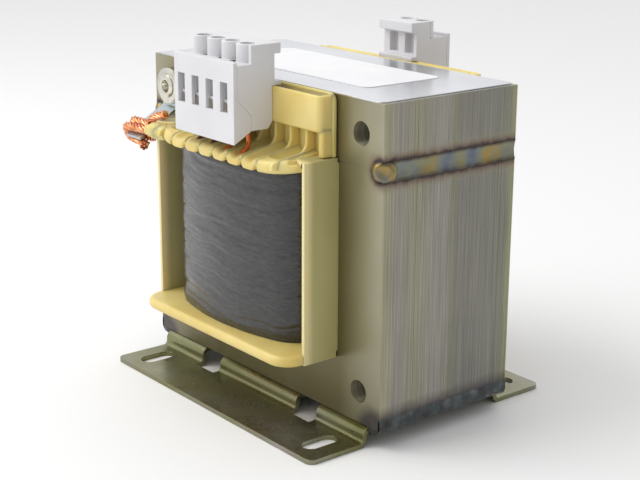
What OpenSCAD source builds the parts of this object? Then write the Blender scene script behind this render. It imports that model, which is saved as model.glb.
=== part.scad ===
// Laminated chassis transformer: a welded EI core on a folded foot bracket,
// with a moulded coil former, a taped winding and two clip-on terminal blocks.
//
// Every piece is drawn as seen from the front: x to the right, y to the back and
// z up from the underside of the core. in_place() then lifts it by the height of
// the foot bracket and turns it, so that the front, with the larger terminal
// block, faces -X, and the origin is the centre of the surface it stands on.

/* [Core] */
// Width of an outer leg; the window and the yoke are as wide, the middle leg twice
leg_w = 16; // [14:0.5:20]
// Thickness of the stack of sheets
stack_t = 43; // [34:1:56]
// Thickness of one bundle of sheets that slid together
bundle_t = 3.6; // [2:0.1:6]
// How far a bundle stands out of the stack sideways
bundle_slip = 0.07; // [0.02:0.01:0.12]
// Diameter of the corner holes
corner_hole_d = 5.8; // [4.5:0.1:6.5]

/* [Welds] */
// Height of the weld along the seam between the two stacks
seam_weld_h = 4.8; // [3:0.1:6]
// Depth that the seam weld melts into the core
seam_weld_depth = 1.2; // [0.8:0.1:1.8]
// Hollow of the seam weld's face
seam_weld_hollow = 0.5; // [0.2:0.1:0.7]
// Radius of the crater where the seam weld starts
crater_r = 3.1; // [2.4:0.1:3.6]
// Height that the base weld climbs up the core
base_weld_h = 3.2; // [2:0.1:5]
// How far the base weld bulges
base_weld_bulge = 2.5; // [2.2:0.1:2.8]

/* [Foot bracket] */
// Thickness of the folded sheet
sheet_t = 1.25; // [1:0.05:1.6]
// Depth of the step from the seat of the core down to the feet
step_h = 4; // [3.5:0.1:6]
// Length of the bracket across the core
bracket_l = 87.8; // [84:0.2:93]
// Reach of each foot in front of and behind the core
foot_reach = 18; // [16:0.5:24]
// Inner radius of the folds
fold_r = 1.1; // [0.8:0.1:1.3]
// Radius of the corners of the feet
foot_corner_r = 2; // [1:0.1:4]
// Distance between the slots along the bracket
slot_pitch_l = 73; // [68:0.5:76]
// Distance between the slots across the bracket
slot_pitch_d = 61.6; // [60:0.1:64]
// Length of a slot
slot_l = 10; // [7:0.1:12]
// Width of a slot
slot_w = 4.8; // [4:0.1:5.5]
// Width of the cut-outs in the step
cutout_w = 8.4; // [5:0.1:11]
// Distance of a cut-out from the middle of the bracket
cutout_x = 21.2; // [16:0.1:26]
// Reach of a cut-out into the foot
cutout_reach = 2.6; // [1.5:0.1:4]

/* [Coil former] */
// Wall of the tube round the middle leg
tube_wall = 1.2; // [0.9:0.1:1.5]
// Thickness of the flanges inside the windows
flange_t = 1.4; // [1:0.1:2]
// Thickness of the lower flange's rim
rim_t = 2.9; // [2:0.1:3.5]
// Reach of the lower flange in front of the core
rim_reach = 16.9; // [15.5:0.1:19]
// Radius of the corners of the lower flange
rim_corner_r = 7; // [4:0.5:9]
// Reach of the comb in front of the core
comb_reach = 14.7; // [13.5:0.1:15.5]
// Thickness of the comb
comb_t = 3.2; // [2.9:0.1:3.4]
// Radius of the corners of the comb
comb_corner_r = 12.5; // [9:0.5:14]
// Slope of the comb, falling outwards, in degrees
comb_slope = 10; // [7:0.5:12]
// Depth of a lead gutter
gutter_depth = 1.9; // [1.4:0.1:2.2]
// Wall between two gutters
gutter_wall = 0.9; // [0.7:0.1:1.3]
// Number of gutters
gutters = 10; // [10]
// Depth of the terminal rail
rail_depth = 5.3; // [4.8:0.1:6.5]
// Height of the terminal rail
rail_h = 8.8; // [7:0.1:10]
// Wall of the terminal rail
rail_wall = 1.2; // [1:0.1:1.4]

/* [Side covers] */
// Thickness of a side cover
cover_t = 1; // [0.8:0.1:1.3]
// Reach of a side cover in front of the core
cover_reach = 10.4; // [9:0.1:12]
// Width of the lip that lies over the comb
lip_w = 5.3; // [4.5:0.1:5.6]

/* [Winding] */
// Thickness of the primary winding
primary_t = 4; // [2:0.1:4.4]
// Thickness of the insulation between the windings
insulation_t = 0.4; // [0.2:0.1:0.6]
// Thickness of the secondary winding
secondary_t = 4.2; // [2:0.1:4.6]
// Thickness of the outer tape
tape_t = 0.8; // [0.5:0.1:1]
// How far the winding bulges in front of the core
coil_bulge = 2.3; // [1:0.1:2.6]
// Width of the tape
tape_w = 19; // [15:0.5:24]

/* [Terminal blocks] */
// Distance between two poles
pole_pitch = 6.1; // [5.8:0.1:6.6]
// Poles of the front block
front_poles = 4; // [2:1:4]
// Poles of the rear block
rear_poles = 2; // [1:1:4]
// Depth of a block in front of the rail
block_depth = 11.5; // [11:0.1:13]
// Height of a block above the rail
block_top = 10.3; // [9.5:0.1:12]
// Height of a block below the rail's top
block_drop = 13.3; // [12.5:0.1:14.5]
// Thickness of a block's front cover
front_t = 1.1; // [0.8:0.1:1.4]
// Width of a wire entry
entry_w = 3; // [2.4:0.1:3.6]
// Height of a wire entry
entry_h = 7.3; // [6:0.1:8]
// Diameter of a screw's head
screw_head_d = 3.4; // [2.8:0.1:3.8]
// Diameter of a screw's thread
screw_d = 2.6; // [2:0.1:3]

/* [Leads] */
// Diameter of the sleeved leads
sleeved_lead_d = 2; // [1.5:0.1:2.4]
// Diameter of the bare enamelled leads
bare_lead_d = 1.2; // [0.8:0.1:1.6]

/* [Earth point] */
// Diameter of the washer
washer_d = 10; // [8:0.1:11]
// Thickness of the washer
washer_t = 0.9; // [0.6:0.1:1.2]
// Outer diameter of the tubular rivet's shank
rivet_d = 4.2; // [3.6:0.1:4.6]
// Wall of the tubular rivet
rivet_wall = 0.5; // [0.3:0.05:0.7]
// Thickness of the earth tag
tag_t = 0.8; // [0.5:0.1:1]
// Width of the earth tag
tag_w = 7; // [6:0.1:7.5]
// Length of the tag's bent end
tag_l = 14; // [12:0.5:16]
// Slope of the tag's bent end, in degrees
tag_slope = 30; // [20:1:40]
// Diameter of the earth wire
earth_wire_d = 2.4; // [1.8:0.1:2.6]

/* [Top] */
// Thickness of the cover sheet on the core
top_sheet_t = 0.3; // [0.2:0.05:0.6]
// How far the cover sheet stays inside the core's ends
top_sheet_inset = 1.1; // [0.5:0.1:3]
// Length of the rating label
label_l = 62; // [40:1:80]
// Width of the rating label
label_w = 24.5; // [15:0.5:36]
// Thickness of the rating label
label_t = 0.15; // [0.1:0.05:0.3]

/* [Hidden] */
$fn = 48;
// Overlap of shapes that are joined or cut
e = 0.05;

// Colours
lamination_grey = [0.50, 0.49, 0.43];
weld_grey = [0.30, 0.33, 0.34];
zinc_olive = [0.56, 0.55, 0.38];
former_yellow = [0.86, 0.78, 0.42];
tape_black = [0.10, 0.10, 0.11];
copper_orange = [0.75, 0.36, 0.20];
block_grey = [0.80, 0.80, 0.82];
steel_grey = [0.72, 0.72, 0.70];
sleeve_brown = [0.28, 0.15, 0.10];

// Core
core_w = 6 * leg_w;
core_h = 5 * leg_w;
seam_z = 4 * leg_w;
face_y = stack_t / 2;
hole_inset = leg_w / 2;
bundles = round(stack_t / bundle_t);

// Clearances
core_gap = 0.3;
slide_gap = 0.2;
fit_gap = 0.1;

// Coil former
tube_x = leg_w + core_gap + tube_wall;
tube_y = face_y + core_gap + tube_wall;
cover_x = 2 * leg_w - fit_gap - cover_t;
flange_x = cover_x - slide_gap;
flange_top = leg_w + flange_t;
comb_z = seam_z + 2.4;
flange_z = seam_z - core_gap - flange_t;
gutter_r = pole_pitch / 2 - gutter_wall / 2;
wall_back_y = face_y + core_gap;
rail_y = face_y + rail_depth;
rail_top = core_h - 0.1;
rail_x = flange_x + 0.3;
lip_z = seam_z - slide_gap;
side_gutters = 2;
lead_gutters = [-1.5 * pole_pitch, -0.5 * pole_pitch];
lead_hole_d = 2.4;
lead_hole_y = face_y + 12.3;

// Winding
coil_z0 = flange_top + fit_gap;
coil_z1 = flange_z - fit_gap;

// Terminal blocks, measured from the rail's front and top
tower_r = pole_pitch / 2 - 0.2;
tower_y = 4.2;
tower_front = tower_y + tower_r;
end_wall = 1.1;
block_shift = -0.4;
end_wall_reach = 6.3;
deck_z = 5.8;
cover_top = 6.5;
split_z = -2.6;
wedge_y = 6.3;
wedge_z = -6.7;
slab_t = 2.6;
hook_reach = 2.6;
neck_reach = 0.7;
ledge_t = 1.2;
tongue_t = 1.2;
tongue_l = 4;
chamber_z = 2.2;
entry_z = 1.4;
cage_w = pole_pitch - 1.8;
cage_depth = 4.2;
cage_h = 6.0;
cage_wall = 0.7;

// Earth point
earth_x = -(core_w / 2 - hole_inset);
earth_z = core_h - hole_inset;
tag_bend_z = earth_z - washer_d / 2 - 0.4;

// Lifts a piece onto the foot bracket and turns its front towards -X.
module in_place() {
    rotate([0, 0, -90])
        translate([0, 0, step_h + sheet_t])
            children();
}

// Extrudes an outline drawn in x and z along the stack, centred on it.
module along_stack(length) {
    rotate([90, 0, 0])
        linear_extrude(length, center = true)
            children();
}

// Extrudes an outline drawn in y and z sideways, centred.
module sideways(length) {
    rotate([90, 0, 90])
        linear_extrude(length, center = true)
            children();
}

// Copies a piece to the other side of the middle plane.
module both_ends() {
    children();
    mirror([1, 0, 0]) children();
}

// Copies a piece to the front and, turned half round, to the rear.
module front_and_rear() {
    children();
    rotate([0, 0, 180]) children();
}

// Rectangle with round corners.
module round_rect(w, d, r) {
    square([w - 2 * r, d], center = true);
    square([w, d - 2 * r], center = true);
    for (x = [-1, 1], y = [-1, 1])
        translate([x * (w / 2 - r), y * (d / 2 - r)]) circle(r);
}

// Radius of the arc over a chord, from half the chord and the rise.
function arc_radius(half, rise) = (half * half + rise * rise) / (2 * rise);

// --- Core ---

// Sideways slip of bundle k, the same pattern on every build.
function slip(k) = k == 0 || k == bundles - 1 ? 0 : bundle_slip * sin(137 * k);

// Bundles of sheets between two heights, before the windows are cut.
module bundled_block(z0, z1) {
    step = stack_t / bundles;
    for (k = [0:bundles - 1])
        translate([slip(k) - core_w / 2, -face_y + k * step, z0])
            cube([core_w, step + (k < bundles - 1 ? e : 0), z1 - z0]);
}

// Groove that the seam weld melts into one side of the core.
module seam_groove(length) {
    r = arc_radius(seam_weld_h / 2, seam_weld_depth);
    translate([core_w / 2 + r - seam_weld_depth, 0, seam_z])
        rotate([90, 0, 0])
            cylinder(h = length, r = r, center = true);
}

// Holes through the corners of the core at one height.
module corner_holes(z) {
    for (x = [-1, 1])
        translate([x * (core_w / 2 - hole_inset), 0, z])
            rotate([90, 0, 0])
                cylinder(h = stack_t + 1, d = corner_hole_d, center = true);
}

// The E sheets: lower yoke, middle leg and two outer legs.
module core_e_stack() color(lamination_grey) in_place() {
    difference() {
        bundled_block(0, seam_z);
        for (x = [-1, 1])
            translate([x * 1.5 * leg_w, 0, leg_w + seam_z / 2])
                cube([leg_w, stack_t + 1, seam_z], center = true);
        corner_holes(hole_inset);
        both_ends() seam_groove(stack_t + 1);
    }
}

// The I sheets: upper yoke, laid across the open ends of the legs.
module core_i_stack() color(lamination_grey) in_place() {
    difference() {
        bundled_block(seam_z, core_h);
        corner_holes(core_h - hole_inset);
        both_ends() seam_groove(stack_t + 1);
    }
}

// --- Welds ---

// Weld bead in the seam groove, hollow along its face, with a round crater
// over the front corner where it was started.
module seam_weld() {
    face_r = arc_radius(seam_weld_h / 2, seam_weld_hollow);
    crater_inset = crater_r / 2;
    crater_y = -(face_y - crater_inset);
    difference() {
        seam_groove(stack_t);
        translate([core_w / 2 + face_r - seam_weld_hollow, 0, seam_z])
            rotate([90, 0, 0])
                cylinder(h = stack_t + 1, r = face_r, center = true);
    }
    difference() {
        translate([core_w / 2 - crater_inset, crater_y, seam_z])
            sphere(crater_r);
        difference() {
            translate([0, 0, seam_z])
                cube([core_w, stack_t, 4 * crater_r], center = true);
            seam_groove(stack_t + 1);
        }
        translate([core_w / 2 + crater_inset, -face_y - crater_inset, seam_z + 0.3])
            sphere(crater_r * 0.62);
    }
}

module seam_weld_right() color(weld_grey) in_place() seam_weld();
module seam_weld_left() color(weld_grey) in_place() mirror([1, 0, 0]) seam_weld();

// Fillet weld between the bottom edge of the core and the end of the bracket.
module base_weld() {
    top = [core_w / 2, base_weld_h];
    toe = [bracket_l / 2, -sheet_t - 0.4];
    half = norm(top - toe) / 2;
    r = arc_radius(half, base_weld_bulge);
    away = [top[1] - toe[1], toe[0] - top[0]] / (2 * half);
    centre = (top + toe) / 2 - away * (r - base_weld_bulge);
    along_stack(stack_t)
        difference() {
            intersection() {
                translate(centre) circle(r, $fn = 96);
                translate([bracket_l / 2, toe[1]])
                    square([core_w, base_weld_h - toe[1]]);
            }
            square([core_w / 2 + bundle_slip, core_h]);
        }
}

module base_weld_right() color(weld_grey) in_place() base_weld();
module base_weld_left() color(weld_grey) in_place() mirror([1, 0, 0]) base_weld();

// --- Foot bracket ---

// Side view of one half of the folded sheet: the seat under the core, the step
// down and the foot. The folds are quarter rings.
module bracket_half() {
    out_r = fold_r + sheet_t;
    web_y = face_y + 0.2;
    foot_y = web_y + sheet_t;
    foot_z = -step_h - sheet_t;
    translate([-e, -sheet_t]) square([web_y - fold_r + e, sheet_t]);
    translate([web_y - fold_r, -out_r])
        intersection() {
            difference() {
                circle(out_r);
                circle(fold_r);
            }
            square(out_r + e);
        }
    translate([web_y, -step_h + fold_r])
        square([sheet_t, step_h - out_r - fold_r]);
    translate([foot_y + fold_r, -step_h + fold_r])
        intersection() {
            difference() {
                circle(out_r);
                circle(fold_r);
            }
            translate([-out_r - e, -out_r - e]) square(out_r + e);
        }
    translate([foot_y + fold_r, foot_z])
        square([face_y + foot_reach - foot_y - fold_r, sheet_t]);
}

// Bracket folded from one sheet, with slotted feet and four cut-outs that
// weaken the step where the sheet was bent.
module mounting_bracket() color(zinc_olive) in_place() {
    depth = 2 * (face_y + foot_reach);
    difference() {
        intersection() {
            sideways(bracket_l)
                front_and_rear_2d() bracket_half();
            translate([0, 0, -step_h - 2 * sheet_t])
                linear_extrude(step_h + 3 * sheet_t)
                    round_rect(bracket_l, depth, foot_corner_r);
        }
        for (x = [-1, 1], y = [-1, 1]) {
            translate([x * slot_pitch_l / 2, y * slot_pitch_d / 2, -step_h - sheet_t / 2])
                slot();
            translate([x * cutout_x, y * (face_y + sheet_t + cutout_reach), 0])
                cutout(y);
        }
    }
}

// Copies a side view to both sides of the middle.
module front_and_rear_2d() {
    children();
    mirror([1, 0]) children();
}

// Slot through a foot, running to the front.
module slot() {
    straight = slot_l - slot_w;
    cube([slot_w, straight, 3 * sheet_t], center = true);
    for (y = [-1, 1])
        translate([0, y * straight / 2, 0])
            cylinder(h = 3 * sheet_t, d = slot_w, center = true);
}

// Cut-out through the foot, the step and the edge of the seat. Its outer end is
// at the origin, and side is 1 at the rear and -1 at the front.
module cutout(side) {
    reach = cutout_reach + sheet_t + 2.4;
    translate([0, -side * reach / 2, -step_h / 2])
        cube([cutout_w, reach, step_h + 4 * sheet_t], center = true);
}

// --- Coil former ---

// Tube round the middle leg.
module former_tube() {
    translate([0, 0, leg_w])
        difference() {
            linear_extrude(seam_z - core_gap - leg_w)
                round_rect(2 * tube_x, 2 * tube_y, 1);
            translate([-tube_x + tube_wall, -tube_y + tube_wall, -1])
                cube([2 * (tube_x - tube_wall), 2 * (tube_y - tube_wall), seam_z]);
        }
}

// Flange between the tube and the outer legs, inside the windows.
module window_flange(z) {
    translate([0, 0, z])
        difference() {
            translate([-flange_x, -tube_y, 0])
                cube([2 * flange_x, 2 * tube_y, flange_t]);
            translate([-tube_x + tube_wall, -tube_y + tube_wall, -1])
                cube([2 * (tube_x - tube_wall), 2 * (tube_y - tube_wall), flange_t + 2]);
        }
}

// Rim of the lower flange in front of the core: the side covers pass beside it,
// and its corners reach round in front of them.
module lower_rim() {
    depth = 2 * (face_y + rim_reach);
    half_w = 2 * leg_w;
    corner_y = face_y + cover_reach + slide_gap;
    translate([0, 0, flange_top - rim_t])
        difference() {
            linear_extrude(rim_t)
                round_rect(2 * half_w, depth, rim_corner_r);
            translate([-half_w - 1, -wall_back_y, -1])
                cube([2 * half_w + 2, 2 * depth, rim_t + 2]);
            for (x = [-1, 1])
                translate([x * (half_w + flange_x) / 2, -corner_y / 2, rim_t / 2])
                    cube([half_w - flange_x + e, corner_y, rim_t + 2], center = true);
        }
}

// Sloping comb in front of the core: gutters side by side between thin walls.
// Those in the middle are open to the front and end in rounded lips; at both
// sides they stop at a flat rim with large round corners.
module comb() {
    reach = comb_reach / cos(comb_slope);
    lip_t = 2.6;
    rim_x = (gutters / 2 - side_gutters) * pole_pitch;
    lip_front = reach + 0.3;
    difference() {
        translate([0, -wall_back_y, comb_z])
            rotate([comb_slope, 0, 0])
                difference() {
                    union() {
                        comb_plate(reach, rim_x);
                        for (k = [side_gutters:gutters - side_gutters - 1])
                            translate([gutter_x(k), (1 - lip_front) / 2, 0])
                                gutter_lip(lip_front + 1, lip_t);
                    }
                    for (k = [1:gutters - 2])
                        translate([gutter_x(k), 0, 0])
                            gutter_channel(abs(gutter_x(k)) < rim_x ? reach + 2 : reach - 3);
                    both_ends()
                        translate([(gutters / 2 - 1) * pole_pitch + 1.25, 0, 0])
                            narrow_channel(reach - 4);
                    translate([-core_w, -core_h, 0]) cube([2 * core_w, 2 * core_h, core_h]);
                }
        translate([-core_w, -wall_back_y, 0]) cube([2 * core_w, core_w, 2 * core_h]);
        both_ends()
            translate([cover_x + cover_t - lip_w - slide_gap, -core_w, lip_z - slide_gap])
                cube([core_w, core_w, core_h]);
        for (x = lead_gutters) {
            translate([x, -lead_hole_y, 0]) cylinder(h = core_h, d = lead_hole_d);
            translate([-x, -lead_hole_y, 0]) cylinder(h = core_h, d = bare_lead_d + slide_gap);
        }
    }
}

function gutter_x(k) = (k - (gutters - 1) / 2) * pole_pitch;

// Plate of the comb, thinner and set back a little under the open gutters.
module comb_plate(reach, rim_x) {
    thin = 2;
    set_back = 0.8;
    translate([0, 0, -comb_t])
        linear_extrude(comb_t)
            difference() {
                comb_outline(reach);
                translate([-rim_x, -2 * reach]) square([2 * rim_x, 3 * reach]);
            }
    translate([-rim_x - e, -reach + set_back, -thin])
        cube([2 * rim_x + 2 * e, reach - set_back + 1, thin]);
}

// Outline of the comb, with round front corners.
module comb_outline(reach) {
    r = comb_corner_r;
    translate([-flange_x, -reach + r]) square([2 * flange_x, reach - r + 1]);
    translate([-flange_x + r, -reach]) square([2 * (flange_x - r), reach]);
    for (x = [-1, 1])
        translate([x * (flange_x - r), -reach + r]) circle(r);
}

// Rounded underside of a gutter, which stands out as a lip at the front.
module gutter_lip(length, t) {
    half_w = pole_pitch / 2 + 0.03;
    r = 1.5;
    translate([0, 0, -t])
        rotate([90, 0, 0])
            linear_extrude(length, center = true) {
                translate([-half_w, r]) square([2 * half_w, t - r + e]);
                translate([-half_w + r, 0]) square([2 * (half_w - r), t]);
                for (x = [-1, 1])
                    translate([x * (half_w - r), r]) circle(r);
            }
}

// Round-bottomed channel of a gutter, from the wall to the front.
module gutter_channel(length) {
    translate([0, -1.2, gutter_r - gutter_depth])
        rotate([90, 0, 0])
            cylinder(h = length, r = gutter_r);
    translate([-gutter_r, -1.2 - length, gutter_r - gutter_depth])
        cube([2 * gutter_r, length, 2 * gutter_r]);
}

// Narrow channel at the end of the comb.
module narrow_channel(length) {
    translate([0, -1.2, -0.3])
        rotate([90, 0, 0])
            cylinder(h = length, r = 0.8);
}

// Wall against the core, its ribs between the gutters and the hollow rail that
// the terminal blocks clip onto.
module terminal_rail() {
    rail_z = rail_top - rail_h;
    foot_z = comb_z - gutter_depth - 0.5;
    post_z = lip_z + cover_t + slide_gap;
    translate([0, -wall_back_y, 0])
        rotate([90, 0, 0])
            linear_extrude(rail_wall)
                back_wall_outline(foot_z, post_z);
    for (k = [1:gutters - 1])
        translate([(k - gutters / 2) * pole_pitch - gutter_wall / 2, -rail_y + rail_wall, foot_z])
            cube([gutter_wall, rail_depth - core_gap - rail_wall - e, rail_z - foot_z + 1]);
    translate([0, 0, rail_z])
        difference() {
            linear_extrude(rail_h) rail_outline();
            translate([-rail_x + rail_wall, -rail_y + rail_wall, rail_wall])
                cube([2 * (rail_x - rail_wall), rail_depth - core_gap - 2 * rail_wall, rail_h]);
        }
    both_ends()
        translate([rail_x - rail_wall, -rail_y + 0.9, post_z])
            cube([rail_wall, rail_depth - core_gap - 0.9, rail_z - post_z + 1]);
}

// Back wall of the rail, with round upper corners.
module back_wall_outline(foot_z, post_z) {
    r = 2;
    half_w = rail_x + 0.5;
    top = rail_top + 0.4;
    translate([-flange_x, foot_z]) square([2 * flange_x, top - r - foot_z]);
    translate([-half_w, post_z]) square([2 * half_w, top - r - post_z]);
    translate([-half_w + r, top - 2 * r]) square([2 * (half_w - r), 2 * r]);
    for (x = [-1, 1])
        translate([x * (half_w - r), top - r]) circle(r);
}

// Plan of the rail, with round front corners.
module rail_outline() {
    r = 1.4;
    depth = rail_depth - core_gap;
    translate([-rail_x, -rail_y + r]) square([2 * rail_x, depth - r]);
    translate([-rail_x + r, -rail_y]) square([2 * (rail_x - r), depth]);
    for (x = [-1, 1])
        translate([x * (rail_x - r), -rail_y + r]) circle(r);
}

// Webs that close the mouths of two gutters, each with a slot for its lead, and
// the boss and finger at the left corner that the earth wire bends round.
module lead_guides() {
    web_t = 1;
    web_y = comb_reach - wall_back_y + face_y;
    drop = web_y * tan(comb_slope);
    translate([0, -wall_back_y - web_y + web_t / 2, comb_z - drop])
        for (x = lead_gutters)
            translate([x, 0, 0])
                difference() {
                    translate([0, 0, -1.2]) cube([2 * gutter_r + 0.4, web_t, 2.2], center = true);
                    lead_slot(web_t + 1);
                }
    boss_r = 2.5;
    boss_x = cover_x - slide_gap - boss_r;
    boss_z = comb_z - drop - comb_t;
    finger_r = 1.6;
    finger_l = 4.1;
    finger_y = face_y + cover_reach + slide_gap + finger_r;
    translate([-boss_x, -finger_y, boss_z + 0.3])
        cylinder(h = 3.7, r = boss_r);
    translate([-boss_x, -finger_y, boss_z + finger_r + 0.1]) {
        rotate([0, -90, 0]) cylinder(h = finger_l, r = finger_r);
        translate([-finger_l, 0, 0]) sphere(finger_r);
    }
}

// Slot for a lead in the web of a gutter.
module lead_slot(length) {
    r = 0.6;
    translate([0, 0, -1.5])
        rotate([90, 0, 0])
            linear_extrude(length, center = true) {
                square([1.8, 2 * r], center = true);
                for (x = [-0.9, 0.9]) translate([x, 0]) circle(r);
            }
}

// One moulding: tube, flanges, comb and terminal rails.
module coil_former() color(former_yellow) in_place() {
    former_tube();
    window_flange(leg_w);
    window_flange(flange_z);
    front_and_rear() {
        lower_rim();
        comb();
        terminal_rail();
        lead_guides();
    }
}

// --- Side covers ---

// Insulating cover between the winding and an outer leg. It runs through the
// window, widens in front of and behind the core, and a lip at each end folds
// over the comb.
module side_cover() {
    reach = face_y + cover_reach;
    low = flange_top - rim_t;
    cut = 1.8;
    translate([cover_x + cover_t / 2, 0, 0])
        sideways(cover_t)
            front_and_rear_2d() {
                translate([-e, leg_w + slide_gap])
                    square([wall_back_y + 2 * e, seam_z - leg_w - core_gap - slide_gap]);
                translate([wall_back_y, low])
                    square([reach - wall_back_y, lip_z - low + cover_t]);
            }
    for (y = [0, 1])
        mirror([0, y, 0])
            translate([0, 0, lip_z])
                linear_extrude(cover_t)
                    polygon([
                        [cover_x + e, -wall_back_y - rail_wall - slide_gap],
                        [cover_x - lip_w + cover_t, -wall_back_y - rail_wall - slide_gap],
                        [cover_x - lip_w + cover_t, -reach + cut],
                        [cover_x + e, -reach]
                    ]);
}

module side_cover_right() color(former_yellow) in_place() side_cover();
module side_cover_left() color(former_yellow) in_place() mirror([1, 0, 0]) side_cover();

// --- Winding ---

// Plan of the winding at a distance t outside the tube: a flat arc at the front
// and the rear, which rises by the bulge, runs into round corners.
function coil_plan(t, bulge) =
    let (
        r = 1 + t,
        a = tube_x + fit_gap + t - r,
        b = tube_y + fit_gap + t - r,
        big_r = arc_radius(a, bulge) + r,
        y0 = big_r - b - r - bulge,
        turn = asin(a / (big_r - r)),
        front = [for (i = [-4:3]) [big_r * sin(turn * i / 4), y0 - big_r * cos(turn * i / 4)]],
        corner = [
            for (i = [0:8])
                let (w = turn + (90 - turn) * i / 8)
                [a + r * sin(w), -b - r * cos(w)]
        ],
        side = concat(front, corner, [for (i = [8:-1:1]) [corner[i][0], -corner[i][1]]])
    )
    concat(side, [for (p = side) -p]);

// Bulge of the winding at a distance t outside the tube.
function bulge_at(t) =
    max(0.05, coil_bulge * min(1, t / (primary_t + insulation_t + secondary_t)));

// Space for the winding between the flanges: its top follows the sloping combs.
module coil_space() {
    under = comb_z - comb_t / cos(comb_slope) - fit_gap;
    knee = wall_back_y + (under - coil_z1) / tan(comb_slope);
    far_z = coil_z1 - (core_w - knee) * tan(comb_slope);
    sideways(2 * core_w)
        polygon([
            [-core_w, coil_z0], [core_w, coil_z0], [core_w, far_z],
            [knee, coil_z1], [-knee, coil_z1], [-core_w, far_z]
        ]);
}

// Ring of the winding between two distances outside the tube.
module coil_ring(t0, t1, z0, z1) {
    intersection() {
        translate([0, 0, z0])
            linear_extrude(z1 - z0)
                difference() {
                    polygon(coil_plan(t1, bulge_at(t1)));
                    polygon(coil_plan(t0, bulge_at(t0)));
                }
        coil_space();
    }
}

module primary_winding() color(copper_orange) in_place()
    coil_ring(0, primary_t, coil_z0, coil_z1);

module layer_insulation() color(former_yellow) in_place()
    coil_ring(primary_t, primary_t + insulation_t, coil_z0, coil_z1);

module secondary_winding() color(copper_orange) in_place()
    coil_ring(primary_t + insulation_t, primary_t + insulation_t + secondary_t,
        coil_z0, coil_z1);

// Outer tape: turns wound one above the other, each lapping over the last.
module winding_tape() color(tape_black) in_place() {
    inside = primary_t + insulation_t + secondary_t;
    height = coil_z1 - coil_z0;
    turns = ceil(height / tape_w) + 1;
    pitch = height / turns;
    for (k = [0:turns - 1])
        coil_ring(inside, inside + tape_t - 0.2 * (k % 2),
            coil_z0 + k * pitch, coil_z0 + (k + 1) * pitch);
}

// --- Terminal blocks ---
// A block is drawn with its rear at y = 0, the rail's top at z = 0 and its front
// towards -y. Its poles are centred on x = 0 and its end wall is at the right.

module on_rail() {
    translate([0, -rail_y, rail_top]) children();
}

// Puts poles and the end wall in the middle of the rail.
module block_middle() {
    translate([block_shift, 0, 0]) children();
}

function pole_x(k, poles) = (k - (poles - 1) / 2) * pole_pitch;

// Side view of the housing, front to the right.
module body_profile() {
    back = block_depth - front_t;
    polygon([
        [0, -block_drop + 4.6], [1.2, -block_drop + 2.9], [wedge_y, -block_drop + 2.9],
        [wedge_y, wedge_z], [back, split_z], [back, deck_z], [0, deck_z]
    ]);
}

// Side view of the front cover.
module cover_profile() {
    back = block_depth - front_t;
    polygon([
        [wedge_y, -block_drop + 2.9], [block_depth, -block_drop],
        [block_depth, cover_top], [back, cover_top], [back, split_z],
        [wedge_y, wedge_z]
    ]);
}

// Turns a side view, front to the right, into a piece over the width of the block.
module block_sideways(poles) {
    translate([end_wall / 2, 0, 0])
        rotate([90, 0, -90])
            linear_extrude(poles * pole_pitch + end_wall, center = true)
                children();
}

// Housing: towers over the screws, a chamber for each clamp, and at the rear two
// hooks, the lower of which drops into the rail.
module terminal_body(poles) {
    width = poles * pole_pitch + end_wall;
    left_x = -poles * pole_pitch / 2;
    tower_h = block_top - deck_z;
    difference() {
        union() {
            block_sideways(poles) body_profile();
            translate([left_x, -tower_y, deck_z - e])
                cube([width, tower_y, tower_h + e]);
            for (k = [0:poles - 1])
                translate([pole_x(k, poles), -tower_y, deck_z - e])
                    cylinder(h = tower_h + e, r = tower_r);
            translate([left_x + width - end_wall, -end_wall_reach, deck_z - e])
                cube([end_wall, end_wall_reach, tower_h + e]);
            translate([left_x, -e, 0])
                cube([width, neck_reach + e, block_top]);
            translate([left_x, 0, block_top - slab_t])
                cube([width, hook_reach, slab_t]);
            translate([left_x, 0, 0])
                cube([width, hook_reach, ledge_t]);
            translate([left_x + 2, rail_wall + slide_gap, -tongue_l])
                cube([width - 4, tongue_t, tongue_l + e]);
        }
        for (k = [0:poles - 1])
            translate([pole_x(k, poles), 0, 0])
                pole_cavity();
    }
}

// Screw shaft, clamp chamber, wire entry, the way in for the lead and the groove
// in the neck behind one pole.
module pole_cavity() {
    shaft_r = screw_head_d / 2 + slide_gap;
    room_w = cage_w + 2 * fit_gap;
    room_depth = cage_depth + 2 * fit_gap;
    room_z = chamber_z - cage_h - 2 * fit_gap;
    groove_w = 3.4;
    groove_z = ledge_t + 0.6;
    translate([0, -tower_y, chamber_z - 1])
        cylinder(h = block_top, r = shaft_r);
    translate([-room_w / 2, -tower_y - room_depth / 2, room_z])
        cube([room_w, room_depth, chamber_z - room_z]);
    translate([-entry_w / 2, -block_depth, entry_z - entry_h])
        cube([entry_w, block_depth - tower_y, entry_h]);
    translate([-entry_w / 2, -tower_y - 1.8, -block_drop])
        cube([entry_w, 3.6, block_drop + room_z + 1]);
    translate([-groove_w / 2, -1.4, groove_z])
        cube([groove_w, neck_reach + 1.4 + e, block_top - slab_t - groove_z - 0.6]);
}

// Front cover: a plate with a window for each wire and a hollow wedge below.
module terminal_cover(poles) {
    side = 1;
    back = block_depth - front_t;
    difference() {
        block_sideways(poles) cover_profile();
        for (k = [0:poles - 1])
            translate([pole_x(k, poles) - entry_w / 2, -block_depth - 1, entry_z - entry_h])
                cube([entry_w, front_t + 1.3, entry_h]);
        translate([end_wall / 2, 0, 0])
            rotate([90, 0, -90])
                linear_extrude(poles * pole_pitch + end_wall - 2 * side, center = true)
                    polygon([
                        [wedge_y - 1, -block_drop - 1], [back, -block_drop - 1],
                        [back, split_z - 0.8], [wedge_y - 1, wedge_z - 1.6]
                    ]);
    }
}

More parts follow.
